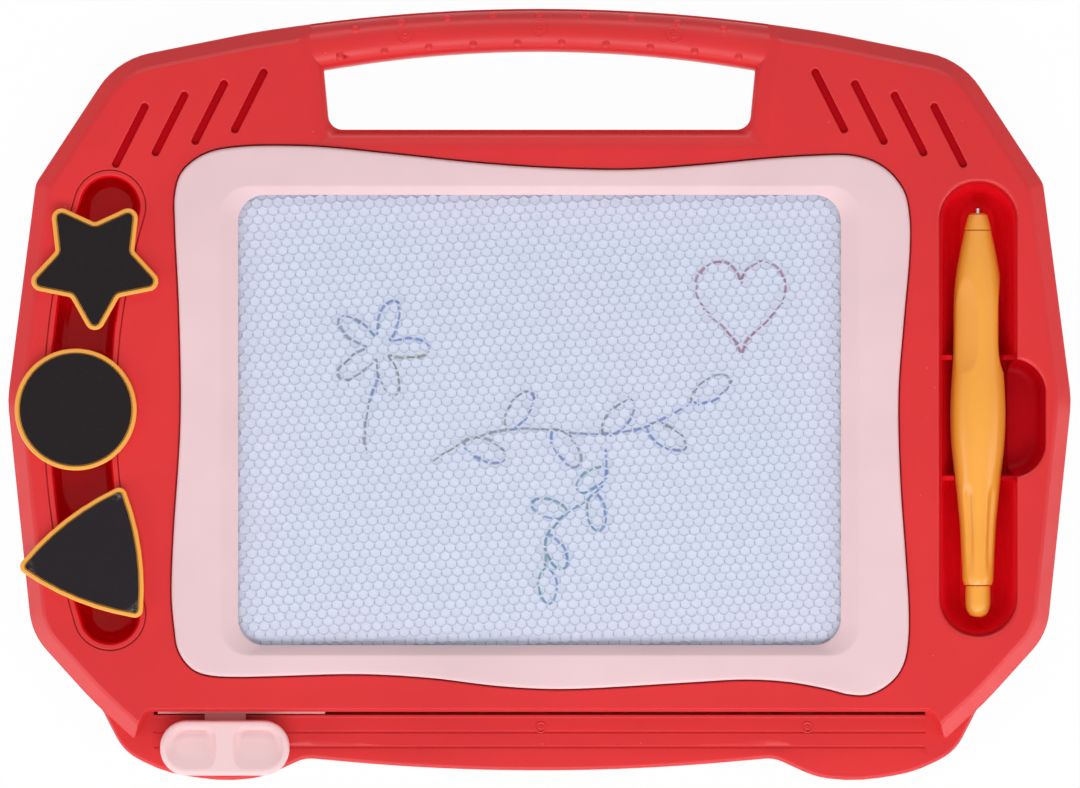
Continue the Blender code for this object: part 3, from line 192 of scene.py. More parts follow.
# Screen
PANEL_MARGIN_X = 12.6 * MM
PANEL_MARGIN_Y = 4.0 * MM
PANEL_ROUND = 3.0 * MM
PANEL_SEAT = 3.0 * MM
SHEET_THICK = 0.4 * MM
CORE_THICK = 1.2 * MM
SEAT_Z = 14.7 * MM
SEAT_THICK = 2.0 * MM
SEAT_WALL = 1.8 * MM
SCREEN_TOP = SEAT_Z + 3 * CLEAR + 2 * SHEET_THICK + CORE_THICK
CORE_TOP = SEAT_Z + 2 * CLEAR + SHEET_THICK + CORE_THICK
CELL_STEP = (3.195 * MM, 0.228 * MM)
CELL_ROW = (1.368 * MM, 2.538 * MM)
CELL_DEPTH = 0.3 * MM
CELL_SHARE = 0.9
CELL_SHARE_SPREAD = 0.02
CELL_BASE_SHARE = 0.97
CELL_CORE_SHARE = 0.62
CELL_CORNER_SHARE = 0.13
CELL_JITTER = 0.17 * MM
CELL_MARGIN = 2.6 * MM
JITTER_SIZE = 2.1 * MM
SPREAD_SIZE = 3.0 * MM
CLOUD_SIZE = 30.0 * MM
POWDER_LINE = ((-1.0, 0.0), (-0.6, 0.8), (0.0, 1.0), (0.6, 0.8), (1.0, 0.0))
POWDER_REACH = 1.3 * MM
POWDER_SHIFT = 0.26 * MM
POWDER_HALF = (0.38, 0.66)
POWDER_STRENGTH = (0.8, 1.0)
BLOB_CHANCE = 0.4
BLOB_SWELL = 1.4
LINE_STEP = 0.25 * MM
CURVE_STEPS = 40
SEED = 7

# Bezel
BEZEL_SIDE = 20.6 * MM
BEZEL_BAND = 13.8 * MM
BEZEL_SHARES = (
    (-0.985, 0.72), (-0.985, 0.83), (-0.97, 0.905), (-0.934, 0.957), (-0.883, 0.991), (-0.8, 1.008),
    (-0.686, 1.011), (-0.586, 1.006), (-0.393, 0.98), (-0.147, 0.945), (0.06, 0.927), (0.25, 0.923),
    (0.436, 0.94), (0.622, 0.964), (0.74, 0.974), (0.839, 0.975), (0.9, 0.954), (0.941, 0.919),
    (0.967, 0.881), (0.988, 0.832), (1.0, 0.74), (1.0, 0.62), (0.984, 0.36), (0.97, 0.1), (0.974, -0.2),
    (0.99, -0.52), (0.998, -0.72), (0.995, -0.828), (0.985, -0.894), (0.964, -0.946), (0.927, -0.989),
    (0.884, -1.013), (0.834, -1.011), (0.785, -0.994), (0.68, -0.967), (0.56, -0.957), (0.4, -0.968),
    (0.06, -0.992), (-0.111, -0.981), (-0.297, -0.951), (-0.483, -0.937), (-0.731, -0.945),
    (-0.825, -0.947), (-0.887, -0.942), (-0.927, -0.927), (-0.957, -0.893), (-0.978, -0.841),
    (-0.986, -0.776), (-0.994, -0.65), (-0.99, -0.45), (-0.97, 0.0), (-0.974, 0.4),
)
BEZEL_TOP = 21.2 * MM
BEZEL_EDGE = 1.1 * MM
BEZEL_EDGE_RUN = 3.0 * MM
BEZEL_LIP = 0.6 * MM
BEZEL_GAP = 0.4 * MM
BEZEL_RIM = 0.5 * MM
BEZEL_PAN_WALL = 1.6 * MM
SLOPE_SIDE = 5.9 * MM
SLOPE_TOP = 2.8 * MM
SLOPE_FOOT = 3.3 * MM
SLOPE_ROUND = 9.0 * MM
SLOPE_RISES = ((0, 0), (0.04, 0.25 * MM), (0.12, 0.62 * MM))
SLOPE_DROPS = ((0.62, 0.75 * MM), (0.8, 0.3 * MM), (0.92, 0.08 * MM))
SLOPE_PAST_SHARE = 1.02

# Pen well with its ribs and finger scoop
PEN_LENGTH = 122.8 * MM
PEN_RADIUS = 8.3 * MM
WELL_X = HALF_W - 28.1 * MM
WELL_Y = -4.3 * MM
WELL_WIDTH = 2 * (PEN_RADIUS + 3.35 * MM)
WELL_LENGTH = PEN_LENGTH + 13.6 * MM
WELL_FLOOR = 4.3 * MM
WELL_WALL = 1.7 * MM
WELL_RIM = 1.1 * MM
BOWL_ROUND = 8.0 * MM
WELL_SHARES = ((0.56, 0), (0.31, 0.17), (0.13, 0.49), (0.03, 0.8), (0, 0.87))
SCOOP_Y = -7.0 * MM
SCOOP_HALF = 17.7 * MM
SCOOP_ROUND = 10.5 * MM
SCOOP_REACH = 20.2 * MM
SCOOP_FLOOR = 9.0 * MM
SCOOP_SHARES = ((0.22, 0), (0.1, 0.1), (0.03, 0.5), (0, 0.82))
RIB_SPACING = 36.2 * MM
RIB_THICK = 1.4 * MM
RIB_TOP = 16.5 * MM

# Stamp tray, bent along an arc
TRAY_X = -(HALF_W - 21.85 * MM)
TRAY_Y = -4.7 * MM
TRAY_BEND = 214.0 * MM
TRAY_RUN = 61.25 * MM
TRAY_TURN = math.asin(TRAY_RUN / TRAY_BEND)
TRAY_HALF = 10.65 * MM
TRAY_LIP = 1.4 * MM
TRAY_LIP_THICK = 0.9 * MM
TRAY_LIP_ROUND = 0.5 * MM
TRAY_LIP_EDGE = 0.1 * MM
TRAY_RIM = 0.35 * MM
TRAY_MOUTH_ROUND = 1.0 * MM
TRAY_DRAW = 0.85 * MM
TRAY_WALL = 1.2 * MM
TRAY_FLOOR = 3.9 * MM
TRAY_ROUND = 4.1 * MM
TRAY_SEAT_WALL = 2.0 * MM
TRAY_SEAT_THICK = 3.2 * MM
TRAY_ARC_STEPS = 28
TRAY_CAP_STEPS = 24

# Stamps
STAMP_PLATE = 2.4 * MM
STAMP_FOOT_ROUND = 0.5 * MM
STAMP_EDGE = 0.55 * MM
STAMP_RIM = 1.6 * MM
STAMP_RIM_FLAT_SHARE = 0.7
STAMP_RECESS = 0.5 * MM
STAMP_RECESS_ROUND = 0.05 * MM
STAMP_RECESS_RIM = 0.25 * MM
STAMP_SHEET = 0.7 * MM
STAMP_SHEET_EDGE = 0.2 * MM
HANDLE_RADIUS = 5.4 * MM
HANDLE_SHARES = ((0.72, 0), (0.95, 0.09), (1, 0.22), (0.78, 0.8), (0.86, 1))
HANDLE_SIDES = 48
HANDLE_SINK = 0.5 * MM
STAR_Y = 39.2 * MM
STAR_POINTS = 5
STAR_REACH = 23.0 * MM
STAR_INNER = 12.4 * MM
STAR_ROUND = 3.0 * MM
STAR_INNER_ROUND = 1.5 * MM
DISC_Y = -4.5 * MM
DISC_SHIFT = -1.2 * MM
DISC_RADIUS = 18.3 * MM
DISC_SIDES = 120
TRIANGLE_Y = -48.8 * MM
TRIANGLE_SHIFT = -0.3 * MM
TRIANGLE_POINTS = 3
TRIANGLE_REACH = 23.5 * MM
TRIANGLE_ROUND = 2.4 * MM
TRIANGLE_BULGE_SHARE = 0.694
TRIANGLE_BULGE_ROUND = 81.0 * MM
TRIANGLE_ANGLE = math.radians(188)

# Pen, tip first: radii of the outside at distances from the tip
PEN_TIP_Y = WELL_Y - 1.1 * MM + PEN_LENGTH / 2
PEN_AXIS_Z = WELL_FLOOR + 0.6 * MM + PEN_RADIUS
PEN_SIDES = 96
PEN_RINGS = 150
PIN_RADIUS = 0.7 * MM
PIN_FLAT_SHARE = 0.9
PIN_SIDES = 32
PIN_SHOWS = 1.5 * MM
PIN_LENGTH = 4.5 * MM
NOSE_LENGTH = 5.0 * MM
NOSE_SHARES = ((0.15, 0), (0.22, 0.02), (0.34, 0.12), (0.41, 0.48), (0.485, 0.96), (0.478, 1))
SPIGOT_RADIUS = 2.4 * MM
SPIGOT_LENGTH = 5.0 * MM
SOCKET_SIDES = 48
TAIL_RADIUS = 3.75 * MM
TAIL_LENGTH = 9.3 * MM
TAIL_SHARES = ((0.97, 0), (1, 0.02), (1, 0.55), (0.96, 0.7), (0.84, 0.84), (0.6, 0.95), (0.3, 1))
BARREL_SHARES = (  # radius as a share of the pen's, place as a share of the barrel's length
    (0.487, 0), (0.515, 0.012), (0.66, 0.065), (0.775, 0.115), (0.84, 0.16), (0.87, 0.2), (0.88, 0.25),
    (0.885, 0.31), (0.92, 0.385), (0.975, 0.455), (1.0, 0.515), (0.97, 0.59), (0.88, 0.665),
    (0.79, 0.725), (0.735, 0.77), (0.66, 0.83), (0.585, 0.94), (0.56, 0.985), (0.5, 1),
)
BARREL_SMOOTH = math.radians(24)
GRIP_FLAT_SHARE = 0.74
GRIP_FLAT_FROM_SHARE = 0.13
GRIP_FLAT_TO_SHARE = 0.4
FLAT_COUNT = 3
FLAT_TURN = math.radians(33)
FLAT_POWER = 4
FLUTE_DEPTH = 0.6 * MM
FLUTE_COUNT = 5
FLUTE_TURN = math.radians(29)
FLUTE_FROM_SHARE = 0.715
FLUTE_TO_SHARE = 0.975
FLUTE_FADES = (9, 4)
FLUTE_POWER = 1.6

# Eraser knob
SLOT_FOOT_GAP = 1.2 * MM
FOOT_LENGTH = 50.3 * MM
CARRIAGE_THICK = 2.5 * MM
CARRIAGE_Z = LEDGE_TOP + RAIL_HEIGHT + CLEAR
KNOB_SHIFT = 4.95 * MM
KNOB_LENGTH = 38.8 * MM
KNOB_DEPTH = 16.6 * MM
KNOB_GAP = 2.5 * MM
KNOB_X = -SLOT_HALF + SLOT_FOOT_GAP + FOOT_LENGTH / 2 - KNOB_SHIFT
KNOB_Y = SLOT_Y - KNOB_GAP - KNOB_DEPTH / 2
KNOB_TOP = 17.0 * MM
KNOB_ROUND = 8.0 * MM
KNOB_EDGE = 1.8 * MM
KNOB_FOOT_DRAW = 0.7 * MM
KNOB_FOOT_RISE = 0.8 * MM
KNOB_FOOT_ROUND = 0.6 * MM
KNOB_RIDGE = 4.8 * MM
KNOB_RIDGE_ROUND = 12.0 * MM
KNOB_RIM = 1.7 * MM
KNOB_HOLLOW = 4.6 * MM
KNOB_HOLLOW_ROUND = 3.5 * MM
KNOB_HOLLOW_SPREAD = 0.7 * MM
KNOB_BOWL = (  # inset in mm, and depth as a share of the hollow's
    (4.4, 1.0), (3.2, 0.97), (2.2, 0.87), (1.4, 0.68), (0.75, 0.42), (0.35, 0.2), (0.1, 0.06), (-0.05, 0.0),
)
KNOB_SHALLOW_SHARE = 0.12
KNOB_LEAN_SHARE = 0.6
TONGUE_WIDTH = 12.3 * MM
TONGUE_LENGTH = 12.0 * MM
GUIDE_THICK = 1.5 * MM
GUIDE_INSET = 3.0 * MM

# Screws and the bosses they hold
SCREW_SHARES = ((0, 0.943), (0.252, 0.927), (-0.252, 0.927), (0.701, 0.791), (-0.701, 0.791),
                (0.801, -0.757), (-0.801, -0.757))
LEDGE_SCREW_SHARES = ((0, -0.86), (0.501, -0.86), (-0.501, -0.86))
SCREW_SHANK = 1.2 * MM
SCREW_HEAD = 2.9 * MM
SCREW_HEAD_THICK = 1.3 * MM
SCREW_LENGTH = 10.0 * MM
LEDGE_SCREW_LENGTH = 5.2 * MM
SCREW_SIDES = 32
CROSS_LENGTH = 3.0 * MM
CROSS_WIDTH = 0.75 * MM
CROSS_DEPTH = 0.8 * MM
BOSS_WALL = 1.9 * MM
BACK_BOSS_WALL = 1.4 * MM
SINK_DEPTH = 2.6 * MM

# Studio
GROUND_GLOW_SHARE = 0.975
WORLD_STRENGTH = 0.32
LAMPS = (  # name, place, size, power, and whether it lights besides showing in gloss
    ("top_light", (0.0, -1.25, 1.45), (1.6, 0.8), 17.5, True),
    ("head_light", (0.0, 1.5, 1.3), (2.2, 0.5), 8.0, True),
    ("left_light", (-1.5, -0.9, 0.8), (1.2, 0.7), 9.0, True),
    ("right_light", (1.5, -0.9, 0.8), (1.2, 0.7), 9.0, True),
    ("head_strip", (0.0, 1.7, 1.2), (2.0, 0.4), 7.0, False),
    ("foot_strip", (0.0, -1.75, 0.14), (2.2, 0.26), 11.0, False),
    ("left_strip", (-1.5, -0.9, 0.14), (1.9, 0.26), 10.0, False),
    ("right_strip", (1.5, -0.9, 0.14), (1.9, 0.26), 10.0, False),
)
FLOOR_SIZE = 4.0
FLOOR_DROP = 0.4 * MM
SENSOR = 36.0
CAMERA_HEIGHT = 6.0
CAMERA_SHIFT = 0.15 * MM
CAMERA_REACH = 20.0
VIEW_WIDTH = 324.0 * MM


def srgb(red, green, blue):
    """A colour given as 0 to 255 screen values, as the linear values a shader takes."""
    values = (red / 255, green / 255, blue / 255)
    return [v / 12.92 if v <= 0.04045 else ((v + 0.055) / 1.055) ** 2.4 for v in values] + [1]


# Outlines: lists of (x, y) points, anticlockwise


def outline(corners, inset=0.0, bevel=0.0, slim=()):
    """Points round (x, y, rounding) corners, with every edge drawn in by inset and bevel.

    The edges in slim, counted from the first corner, take only a share of bevel.
    """
    count = len(corners)
    narrow = {i % count for i in slim}
    insets = [inset + bevel * (SLIM_SHARE if i in narrow else 1) for i in range(count)]
    spots = [Vector((x, y)) for x, y, _ in corners]
    ways = [(spots[(i + 1) % count] - spots[i]).normalized() for i in range(count)]
    turns, moved, reaches = [], [], []
    for i, (_, _, rounding) in enumerate(corners):
        before, after = ways[i - 1], ways[i]
        turn = math.atan2(before.cross(after), before.dot(after))
        shift = after * insets[i - 1] - before * insets[i]
        moved.append(spots[i] + shift / before.cross(after))
        turns.append(turn)
        drawn_in = (insets[i - 1] + insets[i]) / 2
        drawn = max(rounding - math.copysign(drawn_in, turn), LEAST_ROUND)
        reaches.append(drawn * math.tan(abs(turn) / 2))
    # A rounding is limited by the two edges that it joins.
    limits = [1.0] * count
    for i in range(count):
        after = (i + 1) % count
        length = (moved[after] - moved[i]).dot(ways[i]) * EDGE_SHARE
        limit = min(1.0, length / (reaches[i] + reaches[after]))
        limits[i] = min(limits[i], limit)
        limits[after] = min(limits[after], limit)
    points = []
    for i, (_, _, rounding) in enumerate(corners):
        turn, reach = turns[i], reaches[i] * limits[i]
        start = moved[i] - ways[i - 1] * reach
        radius = math.copysign(reach / math.tan(abs(turn) / 2), turn)
        arm = Vector((ways[i - 1].y, -ways[i - 1].x)) * radius
        steps = max(1, math.ceil(abs(turn) / FACET_TURN), math.ceil(abs(turn) * rounding / FACET_RUN))
        for step in range(steps + 1):
            points.append(start - arm + Matrix.Rotation(turn * step / steps, 2) @ arm)
    return [(p.x, p.y) for p in points]


def mirrored(right, top=(), bottom=()):
    """Anticlockwise corners from those of the right side, listed upwards, and any on the axis."""
    left = [(-x, y, rounding) for x, y, rounding in reversed(right)]
    return [*bottom, *right, *top, *left]


def box(x_low, x_high, y_low, y_high, rounding=0.0):
    """Corners of a rectangle."""
    places = ((x_low, y_low), (x_high, y_low), (x_high, y_high), (x_low, y_high))
    return [(x, y, rounding) for x, y in places]


def circle(radius, sides, x=0.0, y=0.0):
    """Points round a circle."""
    turns = [FULL_TURN * i / sides for i in range(sides)]
    return [(x + radius * math.cos(t), y + radius * math.sin(t)) for t in turns]


def eased(start, start_way, end, end_way, t):
    """The point at t, from 0 to 1, of a smooth curve between two points that has given ways there."""
    return (start * (2 * t ** 3 - 3 * t ** 2 + 1) + start_way * (t ** 3 - 2 * t ** 2 + t)
            + end * (3 * t ** 2 - 2 * t ** 3) + end_way * (t ** 3 - t ** 2))


def wavy(shares, half_x, half_y, y, inset=0.0, steps=6):
    """A smooth closed curve through points given as shares, drawn in by inset."""
    count = len(shares)
    spots = [Vector((sx * half_x, y + sy * half_y)) for sx, sy in shares]
    curve = []
    for i in range(count):
        p0, p1, p2, p3 = (spots[(i + k - 1) % count] for k in range(4))
        a, b, c = (math.sqrt((end - start).length) for start, end in ((p0, p1), (p1, p2), (p2, p3)))
        way1 = ((p1 - p0) / a - (p2 - p0) / (a + b) + (p2 - p1) / b) * b
        way2 = ((p2 - p1) / b - (p3 - p1) / (b + c) + (p3 - p2) / c) * b
        curve += [eased(p1, way1, p2, way2, step / steps) for step in range(steps)]
    curve.reverse()
    points = []
    for i, spot in enumerate(curve):
        along = (curve[(i + 1) % len(curve)] - curve[i - 1]).normalized()
        points.append((spot.x - along.y * inset, spot.y + along.x * inset))
    return points


def bent_capsule(half_width):
    """The tray's outline: a capsule bent along the tray's arc."""
    middle = TRAY_X + TRAY_BEND

    def spot(radius, turn):
        return middle + radius * math.cos(turn), TRAY_Y + radius * math.sin(turn)

    first, last = math.pi - TRAY_TURN, math.pi + TRAY_TURN
    sweep = [first + (last - first) * i / TRAY_ARC_STEPS for i in range(TRAY_ARC_STEPS + 1)]
    half_turns = [math.pi * i / TRAY_CAP_STEPS for i in range(1, TRAY_CAP_STEPS)]
    points = [spot(TRAY_BEND + half_width, turn) for turn in sweep]
    foot = spot(TRAY_BEND, last)
    points += [(foot[0] + half_width * math.cos(last + t), foot[1] + half_width * math.sin(last + t))
               for t in half_turns]
    points += [spot(TRAY_BEND - half_width, turn) for turn in reversed(sweep)]
    head = spot(TRAY_BEND, first)
    points += [(head[0] - half_width * math.cos(first + t), head[1] - half_width * math.sin(first + t))
               for t in half_turns]
    return points


def fillet_line(*corners):
    """An open line through (across, height, rounding) corners, rounded at all but its two ends."""
    points = [corners[0][:2]]
    for first, middle, last in zip(corners, corners[1:], corners[2:]):
        spot = Vector(middle[:2])
        before, after = spot - Vector(first[:2]), Vector(last[:2]) - spot
        turn = abs(math.atan2(before.cross(after), before.dot(after)))
        reach = min(middle[2] * math.tan(turn / 2), before.length / 2.1, after.length / 2.1)
        if reach < HAIR / 2:
            points.append(spot)
            continue
        start, end = spot - before.normalized() * reach, spot + after.normalized() * reach
        for i in range(FILLET_STEPS + 1):
            t = i / FILLET_STEPS
            points.append(start * (1 - t) ** 2 + spot * 2 * t * (1 - t) + end * t ** 2)
    points.append(corners[-1][:2])
    return [(x, z) for x, z in points]


# Meshes


def level(points, z):
    """A ring of 3-D points at one height."""
    return [(x, y, z) for x, y in points]


def rings(shape, line):
    """A ring of shape(inset) at each (inset, height) of a line."""
    return [level(shape(inset), z) for inset, z in line]


def prism(points, low, high):
    return [level(points, low), level(points, high)]


def pocket(shape, floor, floor_round, rim, top=FACE_TOP):
    """Rings of a cutter that sinks a pocket with a rounded floor edge and a rounded mouth."""
    line = fillet_line((2 * floor_round + HAIR, floor, 0), (0, floor, floor_round), (0, top + HAIR, rim),
                       (-2 * rim, top + HAIR, 0), (-2 * rim, top + OVERRUN, 0))
    return rings(shape, line)


def new_object(name, made):
    """An object with the mesh in a bmesh, with its faces turned outwards."""
    bmesh.ops.recalc_face_normals(made, faces=made.faces)
    mesh = bpy.data.meshes.new(name)
    made.to_mesh(mesh)
    made.free()
    piece = bpy.data.objects.new(name, mesh)
    bpy.context.scene.collection.objects.link(piece)
    return piece


def loft(name, *stacks):
    """One object whose bodies each join a stack of rings, with flat ends."""
    made = bmesh.new()
    for stack in stacks:
        rows = [[made.verts.new(point) for point in ring] for ring in stack]
        for lower, upper in zip(rows, rows[1:]):
            for i in range(len(lower)):
                made.faces.new((lower[i - 1], lower[i], upper[i], upper[i - 1]))
        made.faces.new(rows[0])
        made.faces.new(rows[-1])
    return new_object(name, made)


def hoops(name, *loops):
    """Closed wires: each loop is a list of rings that joins up with itself."""
    made = bmesh.new()
    for loop in loops:
        rows = [[made.verts.new(point) for point in ring] for ring in loop]
        for j, upper in enumerate(rows):
            lower = rows[j - 1]
            for i in range(len(lower)):
                made.faces.new((lower[i - 1], lower[i], upper[i], upper[i - 1]))
    return new_object(name, made)


def combine(target, operation, tools):
    for tool in tools:
        step = target.modifiers.new(tool.name, "BOOLEAN")
        step.operation = operation
        step.solver = "EXACT"
        step.object = tool


def add(target, *tools):
    combine(target, "UNION", tools)


def cut(target, *tools):
    combine(target, "DIFFERENCE", tools)


def join(target, name, *stacks):
    """Adds lofted stacks of rings to a target."""
    add(target, loft(name, *stacks))


def carve(target, name, *stacks):
    """Cuts lofted stacks of rings out of a target."""
    cut(target, loft(name, *stacks))


def settle(target, angle=SMOOTH_ANGLE):
    """Applies all Booleans of an object, deletes its cutters, and smooths it between its edges."""
    graph = bpy.context.evaluated_depsgraph_get()
    graph.update()
    mesh = bpy.data.meshes.new_from_object(target.evaluated_get(graph))
    tools = [step.object for step in target.modifiers]
    target.modifiers.clear()
    target.data = mesh
    while tools:
        tool = tools.pop()
        tools += [step.object for step in tool.modifiers]
        bpy.data.objects.remove(tool)
    made = bmesh.new()
    made.from_mesh(mesh)
    bmesh.ops.dissolve_degenerate(made, dist=HAIR / 4, edges=made.edges)
    made.to_mesh(mesh)
    made.free()
    mesh.shade_smooth()
    mesh.set_sharp_from_angle(angle=angle)
    weigh = target.modifiers.new("weigh", "WEIGHTED_NORMAL")
    weigh.keep_sharp = True
    weigh.weight = 80
    return target


def repaint(piece, material, inside):
    """Gives the faces whose middle passes a test another material."""
    piece.data.materials.append(material)
    index = len(piece.data.materials) - 1
    for face in piece.data.polygons:
        if inside(face.center):
            face.material_index = index


def dress(piece, material, body, slot, *nodes):
    """Gives a finished piece its material and the body it rides on, and hides the nodes it stands for. slot
    is not used.
    """
    piece.data.materials.clear()
    piece.data.materials.append(material)
    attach(piece, body)
    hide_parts(*nodes)
    return piece


# Corner lists of the housing


def scaled(shares, rounds):
    return [(sx * HALF_W, sy * HALF_D, rounding) for (sx, sy), rounding in zip(shares, rounds)]


FRAME_SIDE = scaled(SIDE_SHARES, SIDE_ROUNDS)
LEDGE_SIDE = scaled(LEDGE_SHARES, LEDGE_ROUNDS)
CROWN = (0, CROWN_SHARE * HALF_D, CROWN_ROUND)
LEDGE_MIDDLE = (0, LEDGE_MIDDLE_SHARE * HALF_D, LEDGE_MIDDLE_ROUND)
LEDGE_INNER = (LEDGE_INNER_SHARES[0] * HALF_W, LEDGE_INNER_SHARES[1] * HALF_D, LEDGE_INNER_ROUND)
RECESS = [(RECESS_HALF, SLOT_Y, RECESS_ROUND), (RECESS_HALF + TIP_OUT, SLOT_Y - TIP_DROP, TIP_ROUND)]
RECESS_EDGES = (-2, -1, 0)


def frame_shape(inset=0.0):
    """Outlines of the raised frame within inset, whose bevel is slim along the eraser's recess."""
    corners = mirrored(RECESS + FRAME_SIDE, top=[CROWN])
    return lambda bevel: outline(corners, inset, bevel, RECESS_EDGES)


def ledge_shape(inset):
    return outline(mirrored(LEDGE_SIDE + [LEDGE_INNER], bottom=[LEDGE_MIDDLE]), inset)


def whole_shape(inset):
    return outline(mirrored(LEDGE_SIDE + FRAME_SIDE, top=[CROWN], bottom=[LEDGE_MIDDLE]), inset)


def opening_shape(inset):
    """The finger opening of the handle."""
    top = HALF_D - GRIP
    shoulder = (OPENING_HALF, top - GRIP_SAG, OPENING_TOP_ROUND)
    foot = (OPENING_HALF - OPENING_TAPER, top - OPENING_DEPTH, OPENING_FOOT_ROUND)
    crown = (0, top + GRIP_SAG * GRIP_CROWN_SHARE, GRIP_ROUND)
    return outline(mirrored([foot, shoulder], top=[crown]), inset)


def yoke_shape(inset):
    """The opening with its sides spread and run on past the handle, between the shoulders."""
    top = HALF_D - GRIP
    foot = (OPENING_HALF - OPENING_TAPER, top - OPENING_DEPTH, OPENING_FOOT_ROUND)
    middle = (OPENING_HALF, top - GRIP_SAG, YOKE_ROUND)
    high = (OPENING_HALF + YOKE_SPREAD, top - GRIP_SAG + YOKE_RISE, OPENING_TOP_ROUND)
    return outline(mirrored([foot, middle, high]), inset)


def arc_y(peak, radius, x):
    """Height in the drawing of an arc's point at x, from its peak at X zero."""
    return peak - radius + math.sqrt(radius ** 2 - x ** 2)


def peak_of(corner, neighbour):
    """Where the rounding of a corner on the axis crosses it."""
    half_turn = math.atan2(corner[1] - neighbour[1], neighbour[0])
    return corner[1] - corner[2] * (1 / math.cos(half_turn) - 1)


def grip_edges(x):
    """Y of the grip's edges at x, towards the opening and outside."""
    top = HALF_D - GRIP
    low_peak = peak_of((0, top + GRIP_SAG * GRIP_CROWN_SHARE, GRIP_ROUND), (OPENING_HALF, top - GRIP_SAG))
    high_peak = peak_of(CROWN, FRAME_SIDE[-1])
    return arc_y(low_peak, GRIP_ROUND, x), arc_y(high_peak, CROWN_ROUND, x) - GRIP_EDGE


def grip_height(x, y):
    """Height of the grip's crowned top."""
    low, high = grip_edges(x)
    away = min(1.0, abs(2 * (y - low) / (high - low) - 1))
    return GRIP_SEAT + (GRIP_TOP - GRIP_SEAT) * (1 - away ** GRIP_POWER) ** (1 / GRIP_POWER)


def spots_of(shares):
    return [(sx * HALF_W, sy * HALF_D) for sx, sy in shares]


def columns(shares, radius, low, high):
    """Round prisms at spots given as shares."""
    return [prism(circle(radius, SCREW_SIDES, x, y), low, high) for x, y in spots_of(shares)]


def shape_of(corners):
    """The outline of corners, by its inset."""
    return lambda inset: outline(corners, inset)


def panel_shape(inset):
    half = WINDOW_WIDTH / 2 + PANEL_MARGIN_X
    return outline(box(-half, half, WINDOW_FOOT - PANEL_MARGIN_Y, WINDOW_TOP + PANEL_MARGIN_Y,
                       PANEL_ROUND), inset)


def bezel_shape(inset):
    half_x = WINDOW_WIDTH / 2 + BEZEL_SIDE
    half_y = WINDOW_DEPTH / 2 + BEZEL_BAND
    return wavy(BEZEL_SHARES, half_x, half_y, WINDOW_Y, inset)


def capsule_tray(inset):
    return bent_capsule(TRAY_HALF - inset)


# Front moulding


def grip_bar():
    """The crowned grip, as sections from end to end that reach into the shoulders."""
    half = OPENING_HALF + GRIP_PAST
    sections = []
    for i in range(GRIP_STEPS + 1):
        x = half * (2 * i / GRIP_STEPS - 1)
        low, high = grip_edges(x)
        low -= CLEAR / 3
        section = [(x, high, GRIP_SEAT - OVERRUN), (x, low, GRIP_SEAT - OVERRUN)]
        for k in range(GRIP_SIDES + 1):
            y = (low + high) / 2 - (high - low) / 2 * math.cos(math.pi * k / GRIP_SIDES)
            section.append((x, y, grip_height(x, y)))
        sections.append(section)
    return loft("grip_bar", sections)


def grip_nubs():
    """Two rows of low domes along the bar."""
    stacks = []
    rows = zip((True, False), NUB_COUNTS, NUB_STEPS, NUB_INSETS, NUB_BENDS)
    for upper, count, step, inset, bend in rows:
        middle = HALF_D - inset if upper else HALF_D - GRIP + inset
        for i in range(count):
            x = (i - (count - 1) / 2) * step
            y = middle - x ** 2 / (2 * bend)
            top = grip_height(x, y)
            stacks.append([level(circle(NUB_RADIUS * wide, NUB_SIDES, x, y), top + up * NUB_RISE)
                           for wide, up in NUB_LINE])
    return loft("grip_nubs", *stacks)


def wire_loop(points, wire, height_at):
    """Rings of a thin wire that lies half sunk along a closed line of points."""
    count = len(points)
    loop = []
    for i, (x, y) in enumerate(points):
        before, after = points[i - 1], points[(i + 1) % count]
        along = Vector((after[0] - before[0], after[1] - before[1])).normalized()
        ring = []
        for side, up in circle(wire, WIRE_SIDES):
            ring.append((x - along.y * side, y + along.x * side, height_at(x, y) + up * WIRE_RISE_SHARE))
        loop.append(ring)
    return loop


def ejector_marks(name, spots, radii, height_at):
    """Fine raised rings round a dot, as ejector pins leave them."""
    loops = []
    for x, y in spots:
        loops += [wire_loop(circle(radius, RING_SIDES, x, y), MARK_WIRE, height_at) for radius in radii]
    return hoops(name, *loops)


def groove_ends():
    """Ends of the middle lines of the four slanted grooves in each shoulder."""
    ends = []
    for side in (1, -1):
        for i in range(GROOVE_COUNT):
            start = Vector((GROOVE_SHARES[0] * HALF_W, GROOVE_SHARES[1] * HALF_D))
            start += Vector(GROOVE_STEP) * i
            foot = start + Vector(GROOVE_RUN)
            ends.append((Vector((side * start.x, start.y)), Vector((side * foot.x, foot.y))))
    return ends


def capsule(start, end, reach):
    """Corners of a capsule round a line."""
    along = (end - start).normalized() * reach
    across = Vector((-along.y, along.x))
    spots = (end + along - across, end + along + across, start - along + across, start - along - across)
    return [(spot.x, spot.y, reach) for spot in spots]


def near_line(spot, start, end, reach):
    """Whether a spot, seen from above, is within reach of a line."""
    spot = Vector(spot[:2])
    run = end - start
    share = min(1.0, max(0.0, (spot - start).dot(run) / run.length_squared))
    return (start + run * share - spot).length < reach


def well_shape(inset):
    half = WELL_WIDTH / 2
    end = WELL_LENGTH / 2
    return outline(box(WELL_X - half, WELL_X + half, WELL_Y - end, WELL_Y + end, half), inset)


def scoop_shape(inset):
    corners = box(WELL_X - SCOOP_REACH, WELL_X + SCOOP_REACH, SCOOP_Y - SCOOP_HALF, SCOOP_Y + SCOOP_HALF,
                  SCOOP_ROUND)
    return outline(corners, inset)


